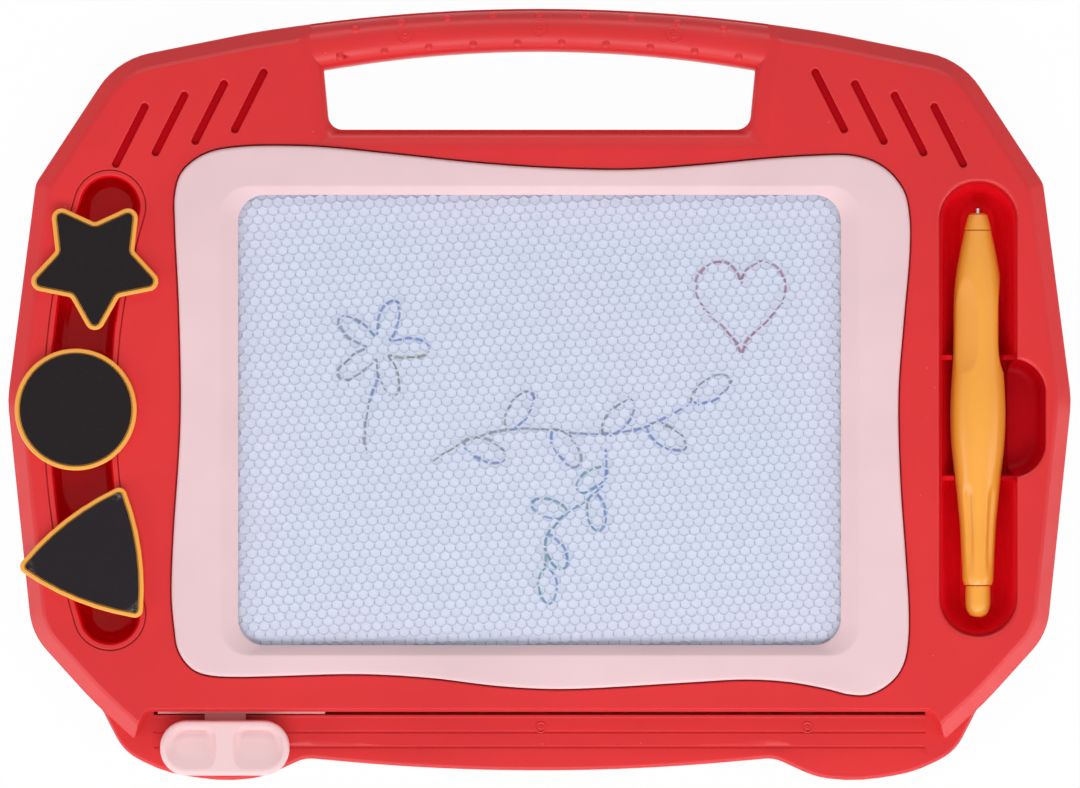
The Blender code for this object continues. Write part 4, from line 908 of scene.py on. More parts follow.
def bowl(shape, shares, reach, floor, wall=0.0):
    """Rings of a hollow from its floor to its rounded mouth, or of its outside with wall round it."""
    deep = FACE_TOP - floor
    corners = [(across * reach - wall, floor + up * deep - wall, BOWL_ROUND) for across, up in shares]
    if wall:
        return rings(shape, fillet_line(*corners))
    corners[-1] = (*corners[-1][:2], WALL)
    corners += [(-CLEAR / 3, FACE_TOP + HAIR, WELL_RIM), (-2 * WELL_RIM, FACE_TOP + HAIR, 0),
                (-2 * WELL_RIM, FACE_TOP + OVERRUN, 0)]
    return rings(shape, fillet_line(*corners))


def scoop_body(name, wall=0.0):
    """The finger scoop, which opens only the outer side of the well."""
    scoop = loft(name, bowl(scoop_shape, SCOOP_SHARES, SCOOP_REACH, SCOOP_FLOOR, wall))
    inner_side = outline(box(WELL_X - HALF_W, WELL_X, -HALF_D, HALF_D))
    carve(scoop, f"{name}_limit", prism(inner_side, 0, FACE_TOP + 2 * OVERRUN))
    return scoop


def well_cutter():
    """Hollow of the pen well and its scoop, less the two notched ribs."""
    hollow = loft("well_hollow", bowl(well_shape, WELL_SHARES, WELL_WIDTH / 2, WELL_FLOOR))
    add(hollow, scoop_body("scoop_hollow"))
    ribs, notches = [], []
    for side in (1, -1):
        y = SCOOP_Y + side * RIB_SPACING / 2
        near, far = WELL_X - WELL_WIDTH, WELL_X + WELL_WIDTH

        def rib_shape(inset, y=y, near=near, far=far):
            return outline(box(near, far, y - RIB_THICK / 2 + inset, y + RIB_THICK / 2 - inset))

        ribs.append(rings(rib_shape, fillet_line((0, 0, 0), (0, RIB_TOP, RIB_THICK / 3),
                                                 (RIB_THICK / 2.2, RIB_TOP, 0))))
        radius = barrel_radius((PEN_TIP_Y - y - barrel_start()) / barrel_length()) + CLEAR
        notch = box(WELL_X - radius, WELL_X + radius, PEN_AXIS_Z - radius, FACE_TOP + OVERRUN)
        notch = outline([(px, pz, radius if pz < PEN_AXIS_Z else 0) for px, pz, _ in notch])
        notches.append([[(px, y + way * RIB_THICK, pz) for px, pz in notch] for way in (-1, 1)])
    rib_guide = loft("rib_guides", *ribs)
    carve(rib_guide, "notch_guides", *notches)
    cut(hollow, rib_guide)
    return hollow


def well_tub():
    """The outside of the pen well and of its scoop, below the face."""
    tub = loft("well_tub", bowl(well_shape, WELL_SHARES[:-1], WELL_WIDTH / 2, WELL_FLOOR, WELL_WALL))
    add(tub, scoop_body("scoop_tub", WELL_WALL))
    return tub


def bevel_line(drop=0.0, foot=0.0):
    """Line up the frame's side and over its bevel, lowered by drop."""
    corners = [(0, foot, 0)]
    corners += [(across * BEVEL_WIDTH, FACE_TOP - down * BEVEL_DROP - drop, rounding)
                for across, down, rounding in BEVEL_LINE]
    corners.append((BEVEL_WIDTH * 1.2, FACE_TOP - drop, 0))
    return fillet_line(*corners)


def front_moulding(material, hollow_shade_paint, deep_shade_paint):
    """Raised frame, half the handle, ledge, and the seats of what it carries."""
    foot = BACK_HEIGHT + CLEAR
    inside = FACE_TOP - WALL + CLEAR
    shell = loft("front_moulding", rings(frame_shape(), bevel_line(foot=foot)))
    ledge_line = fillet_line((0, foot, 0), (0, LEDGE_TOP, LEDGE_EDGE), (3 * LEDGE_EDGE, LEDGE_TOP, 0))
    join(shell, "ledge_body", rings(ledge_shape, ledge_line))

    # The grip takes the place of the frame's top between the shoulders.
    yoke = [(-across * MM, FACE_TOP - down * MM + HAIR, rounding * MM)
            for across, down, rounding in YOKE_LINE]
    past = -OPENING_BEVEL * 3
    yoke = fillet_line((0, GRIP_SEAT, 0), *yoke, (past, FACE_TOP + HAIR, 0), (past, FACE_TOP + OVERRUN, 0))
    carve(shell, "yoke_guide", rings(yoke_shape, yoke))
    add(shell, grip_bar())

    hollow = loft("frame_hollow", rings(frame_shape(WALL), bevel_line(WALL, foot - OVERRUN)))
    carve(hollow, "opening_wall", prism(opening_shape(-WALL), foot - 2 * OVERRUN, FACE_TOP))
    rim = -OPENING_BEVEL - WALL
    yoke_wall = [(-WALL, GRIP_CEILING), (-WALL, FACE_TOP - OPENING_BEVEL_DROP - WALL),
                 (rim, FACE_TOP - WALL), (rim, FACE_TOP)]
    carve(hollow, "yoke_wall", rings(yoke_shape, yoke_wall))
    cut(shell, hollow)
    carve(shell, "ledge_hollow", prism(ledge_shape(WALL), foot - OVERRUN, LEDGE_TOP - WALL))
    carve(shell, "opening_guide", prism(opening_shape(0), foot - OVERRUN, FACE_TOP + OVERRUN))

    # Pan under the bezel, the screen's seat, the tray's collar, the well and the screw posts
    pan_foot = SCREEN_TOP - WALL
    join(shell, "bezel_pan", prism(bezel_shape(-BEZEL_GAP - BEZEL_PAN_WALL), pan_foot, inside))
    join(shell, "screen_seat", prism(panel_shape(-CLEAR - SEAT_WALL), SEAT_Z - SEAT_THICK, pan_foot + CLEAR))
    join(shell, "tray_seat", prism(capsule_tray(-TRAY_SEAT_WALL), FACE_TOP - TRAY_SEAT_THICK, inside))
    add(shell, well_tub())
    boss = SCREW_SHANK + CLEAR + BOSS_WALL
    join(shell, "front_bosses", *columns(SCREW_SHARES, boss, foot, inside),
         *columns(LEDGE_SCREW_SHARES, boss, foot, LEDGE_TOP - WALL + CLEAR))

    # Pocket, screen rebate and window
    carve(shell, "bezel_pocket",
          pocket(lambda inset: bezel_shape(inset - BEZEL_GAP), SCREEN_TOP, 0, BEZEL_RIM))
    carve(shell, "panel_rebate", prism(panel_shape(-CLEAR), SEAT_Z, FACE_TOP))
    carve(shell, "seat_window", prism(panel_shape(PANEL_SEAT), 0, FACE_TOP))

    # Hole and rebate of the stamp tray
    lip_seat = FACE_TOP - TRAY_LIP_THICK - CLEAR
    carve(shell, "tray_rebate", pocket(lambda inset: capsule_tray(inset - CLEAR), lip_seat, 0, TRAY_RIM))
    carve(shell, "tray_hole", prism(capsule_tray(TRAY_DRAW - CLEAR), 0, FACE_TOP))
    cut(shell, well_cutter())

    # Slot of the eraser, rail and lines of the ledge
    slot = box(-SLOT_HALF, SLOT_HALF, SLOT_Y - SLOT_GAP, SLOT_Y + WALL + CLEAR)
    carve(shell, "slot_guide", prism(outline(slot), 0, SLOT_TOP))
    rail_top = SLOT_Y - SLOT_GAP

    def rail_shape(inset):
        return outline(box(-SLOT_HALF, SLOT_HALF, rail_top - RAIL_WIDTH + inset, rail_top - inset))

    rail_line = fillet_line((0, LEDGE_TOP - RAIL_HEIGHT, 0), (0, LEDGE_TOP + RAIL_HEIGHT, RAIL_HEIGHT / 2),
                            (RAIL_WIDTH / 2.2, LEDGE_TOP + RAIL_HEIGHT, 0))
    join(shell, "rail", rings(rail_shape, rail_line))
    lines = []
    for drop in LEDGE_GROOVE_DROPS:
        line = box(-SLOT_HALF, SLOT_HALF, SLOT_Y - drop - LEDGE_GROOVE_WIDTH, SLOT_Y - drop, CLEAR)
        lines.append(pocket(shape_of(line), LEDGE_TOP - LEDGE_GROOVE_DEPTH, CLEAR / 3, CLEAR / 2, LEDGE_TOP))
    carve(shell, "ledge_lines", *lines)

    # Grooves with a rounded mouth, nubs, ejector marks and the screws' holes
    grooves = [shape_of(capsule(start, end, GROOVE_WIDTH / 2)) for start, end in groove_ends()]
    carve(shell, "groove_guides",
          *[pocket(groove, FACE_TOP - GROOVE_DEPTH, GROOVE_FLOOR_ROUND, GROOVE_RIM) for groove in grooves])
    add(shell, grip_nubs())
    add(shell, ejector_marks("grip_marks", MARK_SPOTS, MARK_RINGS, grip_height))
    ledge_spots = [(x, LEDGE_MARK_Y) for x in LEDGE_MARKS]
    add(shell, ejector_marks("ledge_marks", ledge_spots, LEDGE_RINGS, lambda x, y: LEDGE_TOP))
    pilot = SCREW_SHANK + CLEAR
    carve(shell, "pilot_holes", *columns(SCREW_SHARES, pilot, 0, SINK_DEPTH + SCREW_LENGTH),
          *columns(LEDGE_SCREW_SHARES, pilot, 0, SINK_DEPTH + LEDGE_SCREW_LENGTH))
    dress(settle(shell), material, "housing", "red_shell", "front_shell")
    paint_hollow_shade(shell, hollow_shade_paint, deep_shade_paint)


def paint_hollow_shade(shell, hollow_shade_paint, deep_shade_paint):
    """Paints shade into the hollows: a deeper, purer red in the well, and a darker red in the scoop and the
    grooves.
    """
    reach = WELL_WIDTH / 2
    run = Vector((0, WELL_LENGTH / 2 - reach))
    middle = Vector((WELL_X, WELL_Y))
    inner_share = 0.8

    def in_well(spot):
        return spot.z < FACE_TOP - WELL_RIM and near_line(spot, middle - run, middle + run, reach)

    def in_scoop(spot):
        return (SCOOP_FLOOR - CLEAR < spot.z < FACE_TOP - WELL_RIM and abs(spot.y - SCOOP_Y) < SCOOP_HALF
                and WELL_X + reach * inner_share < spot.x < WELL_X + SCOOP_REACH)

    def in_groove(spot):
        return FACE_TOP - 2 * GROOVE_DEPTH < spot.z < FACE_TOP - GROOVE_RIM * inner_share and any(
            near_line(spot, start, end, GROOVE_WIDTH / 2) for start, end in groove_ends())

    # painted shade: the well's faces take a purer red, and the scoop's and the grooves' faces a darker one
    repaint(shell, hollow_shade_paint, in_well)
    repaint(shell, deep_shade_paint, lambda spot: in_scoop(spot) or in_groove(spot))


# Back moulding and screws


def back_moulding(material):
    """Floor, walls, the rear half of the handle, bosses and the carriage's guides."""
    line = fillet_line((2 * BACK_EDGE, 0, 0), (0, 0, BACK_EDGE), (0, BACK_HEIGHT, BACK_RIM),
                       (2 * BACK_RIM, BACK_HEIGHT, 0))
    shell = loft("back_moulding", rings(whole_shape, line))
    hollow = loft("back_hollow", prism(whole_shape(WALL), BACK_FLOOR, BACK_HEIGHT + OVERRUN))
    carve(hollow, "back_opening_wall", prism(opening_shape(-WALL), 0, BACK_HEIGHT + 2 * OVERRUN))
    cut(shell, hollow)
    flare = fillet_line((-2 * BACK_EDGE, -OVERRUN, 0), (-2 * BACK_EDGE, -HAIR, 0), (0, -HAIR, BACK_EDGE),
                        (0, BACK_HEIGHT + OVERRUN, 0))
    carve(shell, "back_opening_guide", rings(opening_shape, flare))
    shares = SCREW_SHARES + LEDGE_SCREW_SHARES
    sink = SCREW_HEAD + CLEAR
    join(shell, "back_bosses", *columns(shares, sink + BACK_BOSS_WALL, BACK_FLOOR / 2, BACK_HEIGHT))
    guides = []
    for y in (SLOT_Y + GUIDE_INSET, WINDOW_TOP + PANEL_MARGIN_Y):
        plate = outline(box(-SLOT_HALF, SLOT_HALF, y, y + GUIDE_THICK))
        guides.append(prism(plate, BACK_FLOOR / 2, CARRIAGE_Z - CLEAR))
    join(shell, "carriage_guides", *guides)
    sink_line = fillet_line((-3 * CLEAR, -OVERRUN, 0), (-3 * CLEAR, -HAIR, 0), (0, -HAIR, 2 * CLEAR),
                            (0, SINK_DEPTH, 0))
    carve(shell, "screw_sinks",
          *[rings(lambda inset, x=x, y=y: circle(sink - inset, SCREW_SIDES, x, y), sink_line)
            for x, y in spots_of(shares)])
    carve(shell, "screw_holes", *columns(shares, SCREW_SHANK + CLEAR, 0, BACK_HEIGHT + OVERRUN))
    dress(settle(shell), material, "housing", "red_back", "back_shell")


def screws(material):
    """Ten pan-head screws with a cross recess, in two lengths."""
    spots = spots_of(SCREW_SHARES + LEDGE_SCREW_SHARES)
    lengths = [SCREW_LENGTH] * len(SCREW_SHARES) + [LEDGE_SCREW_LENGTH] * len(LEDGE_SCREW_SHARES)
    for number, ((x, y), length) in enumerate(zip(spots, lengths), 1):
        line = fillet_line((SCREW_HEAD * 0.99, -SCREW_HEAD_THICK, 0),
                           (SCREW_HEAD_THICK / 2, -SCREW_HEAD_THICK, 2 * SCREW_HEAD_THICK), (0, 0, CLEAR),
                           (SCREW_HEAD - SCREW_SHANK, 0, CLEAR), (SCREW_HEAD - SCREW_SHANK, length, 0))
        screw = loft(f"screw_piece_{number}",
                     rings(lambda inset: circle(SCREW_HEAD - inset, SCREW_SIDES), line))
        for long, wide in ((CROSS_LENGTH, CROSS_WIDTH), (CROSS_WIDTH, CROSS_LENGTH)):
            bar = outline(box(-long / 2, long / 2, -wide / 2, wide / 2))
            carve(screw, "cross_bar",
                  prism(bar, -SCREW_HEAD_THICK - OVERRUN, CROSS_DEPTH - SCREW_HEAD_THICK))
        settle(screw)
        screw.location = (x, y, SINK_DEPTH - CLEAR)
        dress(screw, material, "housing", "steel", f"screw_{number}")


# Bezel and tray


def bezel_frame(material):
    """Wavy frame whose inner side slopes down to the window."""
    low = SCREEN_TOP + CLEAR
    line = fillet_line((0, low, 0), (0, BEZEL_TOP, BEZEL_EDGE), (BEZEL_EDGE_RUN, BEZEL_TOP, 0))
    frame = loft("bezel_frame", rings(bezel_shape, line))
    half = WINDOW_WIDTH / 2

    def slope_shape(share):
        rounding = WINDOW_ROUND + (SLOPE_ROUND - WINDOW_ROUND) * share
        return outline(box(-half - SLOPE_SIDE * share, half + SLOPE_SIDE * share,
                           WINDOW_FOOT - SLOPE_FOOT * share, WINDOW_TOP + SLOPE_TOP * share, rounding))

    lip = low + BEZEL_LIP
    stack = prism(slope_shape(0), 0, lip - HAIR)
    stack += [level(slope_shape(share), lip + up) for share, up in SLOPE_RISES]
    stack += [level(slope_shape(share), BEZEL_TOP - down) for share, down in SLOPE_DROPS]
    stack += prism(slope_shape(SLOPE_PAST_SHARE), BEZEL_TOP + HAIR, BEZEL_TOP + OVERRUN)
    carve(frame, "bezel_window", stack)
    dress(settle(frame), material, "housing", "pink_plastic", "screen_bezel")


def tray_insert(material, hollow_shade_paint):
    """Curved insert with a lip that lies flush in the face, glossy inside, with a purer red painted there as
    shade.
    """
    lip_foot = FACE_TOP - TRAY_LIP_THICK
    base = TRAY_FLOOR - TRAY_WALL
    outer = fillet_line((TRAY_DRAW + 2 * TRAY_ROUND, base, 0), (TRAY_DRAW, base, TRAY_ROUND),
                        (TRAY_DRAW, lip_foot, TRAY_LIP_EDGE), (0, lip_foot, TRAY_LIP_EDGE),
                        (0, FACE_TOP, TRAY_RIM), (TRAY_LIP / 2, FACE_TOP, 0))
    tray = loft("tray_insert", rings(capsule_tray, outer))
    inner = TRAY_DRAW + TRAY_WALL
    hollow = fillet_line((inner + 2 * TRAY_ROUND, TRAY_FLOOR, 0), (inner, TRAY_FLOOR, TRAY_ROUND),
                         (inner, lip_foot - TRAY_LIP, TRAY_MOUTH_ROUND),
                         (TRAY_LIP, FACE_TOP + HAIR, TRAY_LIP_ROUND), (TRAY_LIP / 2, FACE_TOP + HAIR, 0),
                         (TRAY_LIP / 2, FACE_TOP + OVERRUN, 0))
    carve(tray, "tray_hollow", rings(capsule_tray, hollow))
    dress(settle(tray), material, "housing", "red_gloss", "stamp_tray")
    # painted shade: faces below the lip take a purer, deeper red
    repaint(tray, hollow_shade_paint, lambda spot: spot.z < FACE_TOP - TRAY_LIP / 2)


# Stamps


def pointed(count, first, outer, inner):
    """Corners of a star from the angle first. outer and inner are each (reach, rounding)."""
    corners = []
    for i in range(2 * count):
        turn = first + math.pi * i / count
        reach, rounding = inner if i % 2 else outer
        corners.append((reach * math.cos(turn), reach * math.sin(turn), rounding))
    return corners


def tray_point(y):
    """X of the tray's middle line at a height of the board."""
    return TRAY_X + TRAY_BEND - math.sqrt(TRAY_BEND ** 2 - (y - TRAY_Y) ** 2)


def stamp(name, x, y, shape, plastic, sheet):
    """A plate with its handle below and a magnetic sheet set into it."""
    top = STAMP_PLATE
    line = fillet_line((3 * STAMP_FOOT_ROUND, 0, 0), (0, 0, STAMP_FOOT_ROUND), (0, top, STAMP_EDGE),
                       (STAMP_RIM * STAMP_RIM_FLAT_SHARE, top, 0))
    body = loft(f"{name}_plate", rings(shape, line))
    length = FACE_TOP - TRAY_FLOOR
    grip = [(HANDLE_RADIUS * wide, (up - 1) * length) for wide, up in HANDLE_SHARES]
    grip.append((grip[-1][0], HANDLE_SINK))
    join(body, f"{name}_handle", [level(circle(radius, HANDLE_SIDES), z) for radius, z in grip])
    recess = top - STAMP_RECESS
    hollow = pocket(lambda inset: shape(inset + STAMP_RIM - CLEAR), recess, STAMP_RECESS_ROUND,
                    STAMP_RECESS_RIM, top)
    carve(body, f"{name}_recess", hollow)
    settle(body)
    low = recess + CLEAR
    sheet_line = fillet_line((STAMP_RIM, low, 0), (STAMP_RIM, low + STAMP_SHEET, STAMP_SHEET_EDGE),
                             (STAMP_RIM + 4 * STAMP_SHEET_EDGE, low + STAMP_SHEET, 0))
    face = settle(loft(f"{name}_face", rings(shape, sheet_line)))
    for piece in (body, face):
        piece.location = (x, y, FACE_TOP + CLEAR)
    dress(body, plastic, f"{name}_stamp", "orange_stamp", f"{name}_body")
    dress(face, sheet, f"{name}_stamp", "magnet_sheet", f"{name}_sheet")


def stamps(plastic, sheet, worn_sheet):
    star = pointed(STAR_POINTS, -math.pi / 2, (STAR_REACH, STAR_ROUND), (STAR_INNER, STAR_INNER_ROUND))
    bulge = (TRIANGLE_REACH * TRIANGLE_BULGE_SHARE, TRIANGLE_BULGE_ROUND)
    triangle = pointed(TRIANGLE_POINTS, TRIANGLE_ANGLE, (TRIANGLE_REACH, TRIANGLE_ROUND), bulge)
    stamp("star", tray_point(STAR_Y), STAR_Y, shape_of(star), plastic, sheet)
    stamp("disc", tray_point(DISC_Y) + DISC_SHIFT, DISC_Y,
          lambda inset: circle(DISC_RADIUS - inset, DISC_SIDES), plastic, sheet)
    stamp("triangle", tray_point(TRIANGLE_Y) + TRIANGLE_SHIFT, TRIANGLE_Y, shape_of(triangle), plastic,
          worn_sheet)


# Pen


def barrel_start():
    return PIN_SHOWS + NOSE_LENGTH + CLEAR


def barrel_length():
    return PEN_LENGTH - TAIL_LENGTH - CLEAR - barrel_start()


def barrel_radius(share):
    """Radius of the barrel's round outside, on a smooth curve through its shares."""
    rows = BARREL_SHARES
    for i in range(len(rows) - 1):
        if share <= rows[i + 1][1]:
            break
    (r0, s0), (r1, s1) = rows[i], rows[i + 1]
    before = rows[i - 1] if i else rows[0]
    after = rows[i + 2] if i + 2 < len(rows) else rows[-1]
    span = s1 - s0
    rise0 = (r1 - before[0]) / max(s1 - before[1], HAIR) * span
    rise1 = (after[0] - r0) / max(after[1] - s0, HAIR) * span
    return PEN_RADIUS * eased(r0, rise0, r1, rise1, (share - s0) / span)


def pen_ring(points, distance):
    """A section of the pen: points across it, at a distance behind its tip."""
    return [(WELL_X + x, PEN_TIP_Y - distance, PEN_AXIS_Z + z) for x, z in points]


def barrel_ring(share):
    """A section with three arched flats at the grip and flutes towards the tail."""
    radius = barrel_radius(share)
    flat = radius
    if GRIP_FLAT_FROM_SHARE < share < GRIP_FLAT_TO_SHARE:
        middle = (GRIP_FLAT_FROM_SHARE + GRIP_FLAT_TO_SHARE) / 2
        away = abs(share - middle) / (GRIP_FLAT_TO_SHARE - middle)
        deepest = PEN_RADIUS * GRIP_FLAT_SHARE
        flat = deepest + (radius - deepest) * away ** FLAT_POWER
    depth = 0.0
    if FLUTE_FROM_SHARE < share < FLUTE_TO_SHARE:
        along = (share - FLUTE_FROM_SHARE) / (FLUTE_TO_SHARE - FLUTE_FROM_SHARE)
        depth = FLUTE_DEPTH * min(1.0, FLUTE_FADES[0] * along, FLUTE_FADES[1] * (1 - along))
    points = []
    for i in range(PEN_SIDES):
        turn = FULL_TURN * i / PEN_SIDES
        reach = radius
        for k in range(FLAT_COUNT):
            facing = math.cos(turn - math.pi / 2 - FLAT_TURN - FULL_TURN * k / FLAT_COUNT)
            if facing > 0:
                reach = min(reach, flat / facing)
        groove = math.cos((turn - math.pi / 2 - FLUTE_TURN) * FLUTE_COUNT)
        reach -= depth * max(0.0, groove) ** FLUTE_POWER
        points.append((reach * math.cos(turn), reach * math.sin(turn)))
    return points


def pen(plastic, steel):
    """Magnet pin, nose cap, barrel and tail plug, from the tip down the board."""
    line = fillet_line((PIN_RADIUS * PIN_FLAT_SHARE, 0, 0), (0, 0, PIN_RADIUS), (0, PIN_LENGTH, 0))
    pin = loft("pen_pin", [pen_ring(circle(PIN_RADIUS - inset, PIN_SIDES), s) for inset, s in line])
    dress(settle(pin), steel, "pen", "steel", "pen_tip")

    nose_end = PIN_SHOWS + NOSE_LENGTH
    spigot = circle(SPIGOT_RADIUS, PEN_SIDES)
    stack = [pen_ring(circle(PEN_RADIUS * wide, PEN_SIDES), PIN_SHOWS + along * NOSE_LENGTH)
             for wide, along in NOSE_SHARES]
    stack += [pen_ring(spigot, nose_end), pen_ring(spigot, nose_end + SPIGOT_LENGTH)]
    nose = loft("pen_cone", stack)
    bore = circle(PIN_RADIUS + CLEAR, PIN_SIDES)
    carve(nose, "pin_bore", [pen_ring(bore, 0), pen_ring(bore, PIN_LENGTH + CLEAR)])
    dress(settle(nose), plastic, "pen", "orange_pen", "pen_nose")

    start, length = barrel_start(), barrel_length()
    shares = [i / PEN_RINGS for i in range(PEN_RINGS + 1)]
    barrel = loft("pen_grip", [pen_ring(barrel_ring(share), start + share * length) for share in shares])
    socket = circle(SPIGOT_RADIUS + CLEAR, SOCKET_SIDES)
    end = start + length
    for name, near, far in (("front_socket", start - OVERRUN, start + SPIGOT_LENGTH + CLEAR),
                            ("tail_socket", end - SPIGOT_LENGTH - CLEAR, end + OVERRUN)):
        carve(barrel, name, [pen_ring(socket, near), pen_ring(socket, far)])
    dress(settle(barrel, BARREL_SMOOTH), plastic, "pen", "orange_pen", "pen_barrel")

    tail_at = end + CLEAR
    stack = [pen_ring(spigot, tail_at - SPIGOT_LENGTH), pen_ring(spigot, tail_at)]
    stack += [pen_ring(circle(TAIL_RADIUS * wide, PEN_SIDES), tail_at + along * TAIL_LENGTH)
              for wide, along in TAIL_SHARES]
    dress(settle(loft("pen_plug", stack)), plastic, "pen", "orange_pen", "pen_tail")


# Eraser knob


def knob(material):
    """Rounded knob with two finger hollows that are deepest towards the slot."""
    half_x, half_y = KNOB_LENGTH / 2, KNOB_DEPTH / 2
    base = CARRIAGE_Z
    corners = box(KNOB_X - half_x, KNOB_X + half_x, KNOB_Y - half_y, KNOB_Y + half_y, KNOB_ROUND)
    line = fillet_line((KNOB_FOOT_DRAW, base, 0), (0, base + KNOB_FOOT_RISE, KNOB_FOOT_ROUND),
                       (0, KNOB_TOP, KNOB_EDGE), (1.6 * KNOB_EDGE, KNOB_TOP, 0))
    piece = loft("knob_moulding", rings(shape_of(corners), line))
    low_y, high_y = KNOB_Y - half_y + KNOB_RIM, KNOB_Y + half_y - KNOB_RIM
    far_round = KNOB_ROUND - KNOB_RIM
    for side in (1, -1):
        ridge, far = KNOB_X + side * KNOB_RIDGE / 2, KNOB_X + side * (half_x - KNOB_RIM)
        near = ridge + side * KNOB_HOLLOW_SPREAD
        hollow = [(near, low_y, KNOB_HOLLOW_ROUND), (far, low_y, far_round), (far, high_y, far_round),
                  (near, high_y, KNOB_HOLLOW_ROUND), (ridge, KNOB_Y, KNOB_RIDGE_ROUND)]
        if side == -1:
            hollow.reverse()
        stack = []
        for inset, down in KNOB_BOWL:
            ring = []
            for x, y in outline(hollow, inset * MM):
                share = min(1.0, max(0.0, (y - low_y) / (high_y - low_y)))
                depth = down * KNOB_HOLLOW * (KNOB_SHALLOW_SHARE + (1 - KNOB_SHALLOW_SHARE) * share)
                ring.append((x, y + KNOB_LEAN_SHARE * max(0.0, inset) * MM, KNOB_TOP + HAIR - depth))
            stack.append(ring)
        stack.append(level(outline(hollow, KNOB_BOWL[-1][0] * MM), KNOB_TOP + OVERRUN))
        carve(piece, f"knob_hollow_{side + 2}", stack)
    slot_y = SLOT_Y - SLOT_GAP + CLEAR
    socket = box(KNOB_X - TONGUE_WIDTH / 2 - CLEAR, KNOB_X + TONGUE_WIDTH / 2 + CLEAR,
                 slot_y - TONGUE_LENGTH - CLEAR, KNOB_Y + half_y + OVERRUN)
    carve(piece, "knob_socket", prism(outline(socket), base - OVERRUN, base + CARRIAGE_THICK + CLEAR))
    dress(settle(piece), material, "eraser", "pink_knob", "eraser_knob")


# Screen cells and the figures drawn on them


def lattice_corner(first, second):
    """The point with the same distance to the origin and to two neighbours' centres."""
    a, b = Vector(first), Vector(second)
    scale = 2 * a.cross(b)
    return Vector(((b.y * a.length_squared - a.y * b.length_squared) / scale,
                   (a.x * b.length_squared - b.x * a.length_squared) / scale))


STEP, ROW = Vector(CELL_STEP), Vector(CELL_ROW)
NEIGHBOURS = [STEP, ROW, ROW - STEP, -STEP, -ROW, STEP - ROW]
CELL_CORNERS = [lattice_corner(a, b) for a, b in zip(NEIGHBOURS, NEIGHBOURS[1:] + NEIGHBOURS[:1])]


def cell_centre(i, j):
    return STEP * i + ROW * j + Vector((0, WINDOW_Y))


def cell_at(x, y):
    """Indices of the cell that a point is in."""
    spot = Vector((x, y - WINDOW_Y))
    scale = STEP.cross(ROW)
    i, j = spot.cross(ROW) / scale, STEP.cross(spot) / scale
    near = [(round(i) + a, round(j) + b) for a in (-1, 0, 1) for b in (-1, 0, 1)]
    return min(near, key=lambda c: (STEP * c[0] + ROW * c[1] - spot).length)


def mixed(first, second, share):
    return [a + (b - a) * share for a, b in zip(first, second)]


# Colours of the figures' lines, of the cells, and of the walls between them by their direction, where walls
# that run up and down the board get a darker painted shade
BLUE, OLIVE = srgb(88, 124, 196), srgb(120, 124, 104)
TEAL, MAUVE = srgb(70, 134, 146), srgb(146, 88, 120)
PALE_CELL, PINK_CELL = srgb(223, 232, 250), srgb(232, 230, 247)
SHADED_UPRIGHT_WALL, CROSS_WALL = srgb(174, 180, 202), srgb(223, 230, 247)


def angles(count):
    """Angles of a full turn in even steps, with its start and its end."""
    return [FULL_TURN * i / count for i in range(count + 1)]


def flower(x, y, size, petals):
    """A line round the petals of a flower, and its stem."""
    waist, swell, sway = 0.62, 0.38, 0.3
    rim = []
    for turn in angles(CURVE_STEPS * petals):
        reach = size * (waist + swell * math.cos(petals * turn))
        rim.append((x + reach * math.cos(turn), y + reach * math.sin(turn)))
    stem = [(x - size * sway * math.sin(t / 14), y - size * (0.5 + t / 18)) for t in range(30)]
    return [rim, stem]


def twig(start, end, leaves, size):
    """A bowed stem with leaves on both of its sides, and one at its end."""
    steps, first_leaf, lean = 60, 8, math.radians(50)
    bow, leaf_width = size * 0.35, size * 0.24
    start, end = Vector(start) * MM, Vector(end) * MM
    across = Vector((start.y - end.y, end.x - start.x)).normalized()
    spots = [start.lerp(end, t / steps) + across * bow * math.sin(FULL_TURN * t / steps)
             for t in range(steps + 1)]
    lines = [spots]
    for i in range(leaves + 1):
        at = first_leaf + ((steps - first_leaf) * i) // leaves
        way = (spots[at] - spots[at - 2]).normalized()
        if i < leaves:
            way = Matrix.Rotation(lean if i % 2 else -lean, 2) @ way
        side = Vector((-way.y, way.x))
        lines.append([spots[at] + way * size * (1 - math.cos(turn)) / 2 + side * leaf_width * math.sin(turn)
                      for turn in angles(CURVE_STEPS)])
    return lines


def heart(x, y, size):
    """The usual heart curve."""
    line = []
    for t in angles(3 * CURVE_STEPS):
        rise = 13 * math.cos(t) - 5 * math.cos(2 * t) - 2 * math.cos(3 * t) - math.cos(4 * t)
        line.append((x + size * math.sin(t) ** 3, y + size * rise / 14))
    return [line]


FIGURES = (  # lines, and the colours at their start and at their end
    (flower(-48 * MM, 14 * MM, 15 * MM, 5), BLUE, OLIVE),
    (twig((-32, -20), (46, -2), 5, 13 * MM), OLIVE, BLUE),
    (twig((20, -16), (2, -52), 4, 11 * MM), BLUE, TEAL),
    (heart(60.5 * MM, 28.5 * MM, 13.5 * MM), MAUVE, MAUVE),
)


def resampled(points, step):
    """Points at even steps along a line."""
    spots = [Vector(p) for p in points]
    even = [spots[0]]
    left = step
    for a, b in zip(spots, spots[1:]):
        length = (b - a).length
        at = left
        while at <= length:
            even.append(a + (b - a) * (at / length))
            at += step
        left = at - length
    return even


def dashes():
    """The figures cut up by cell: {cell: [(points, colour)]}."""
    found = {}
    for lines, first, last in FIGURES:
        for line in lines:
            points = resampled(line, LINE_STEP)
            run, owner = [], None
            for k, spot in enumerate(points + [None]):
                cell = cell_at(spot.x, spot.y) if spot else None
                if cell != owner:
                    if len(run) > 2:
                        share = k / len(points)
                        found.setdefault(owner, []).append((run, mixed(first, last, share)))
                    run, owner = [], cell
                run.append(spot)
    return found


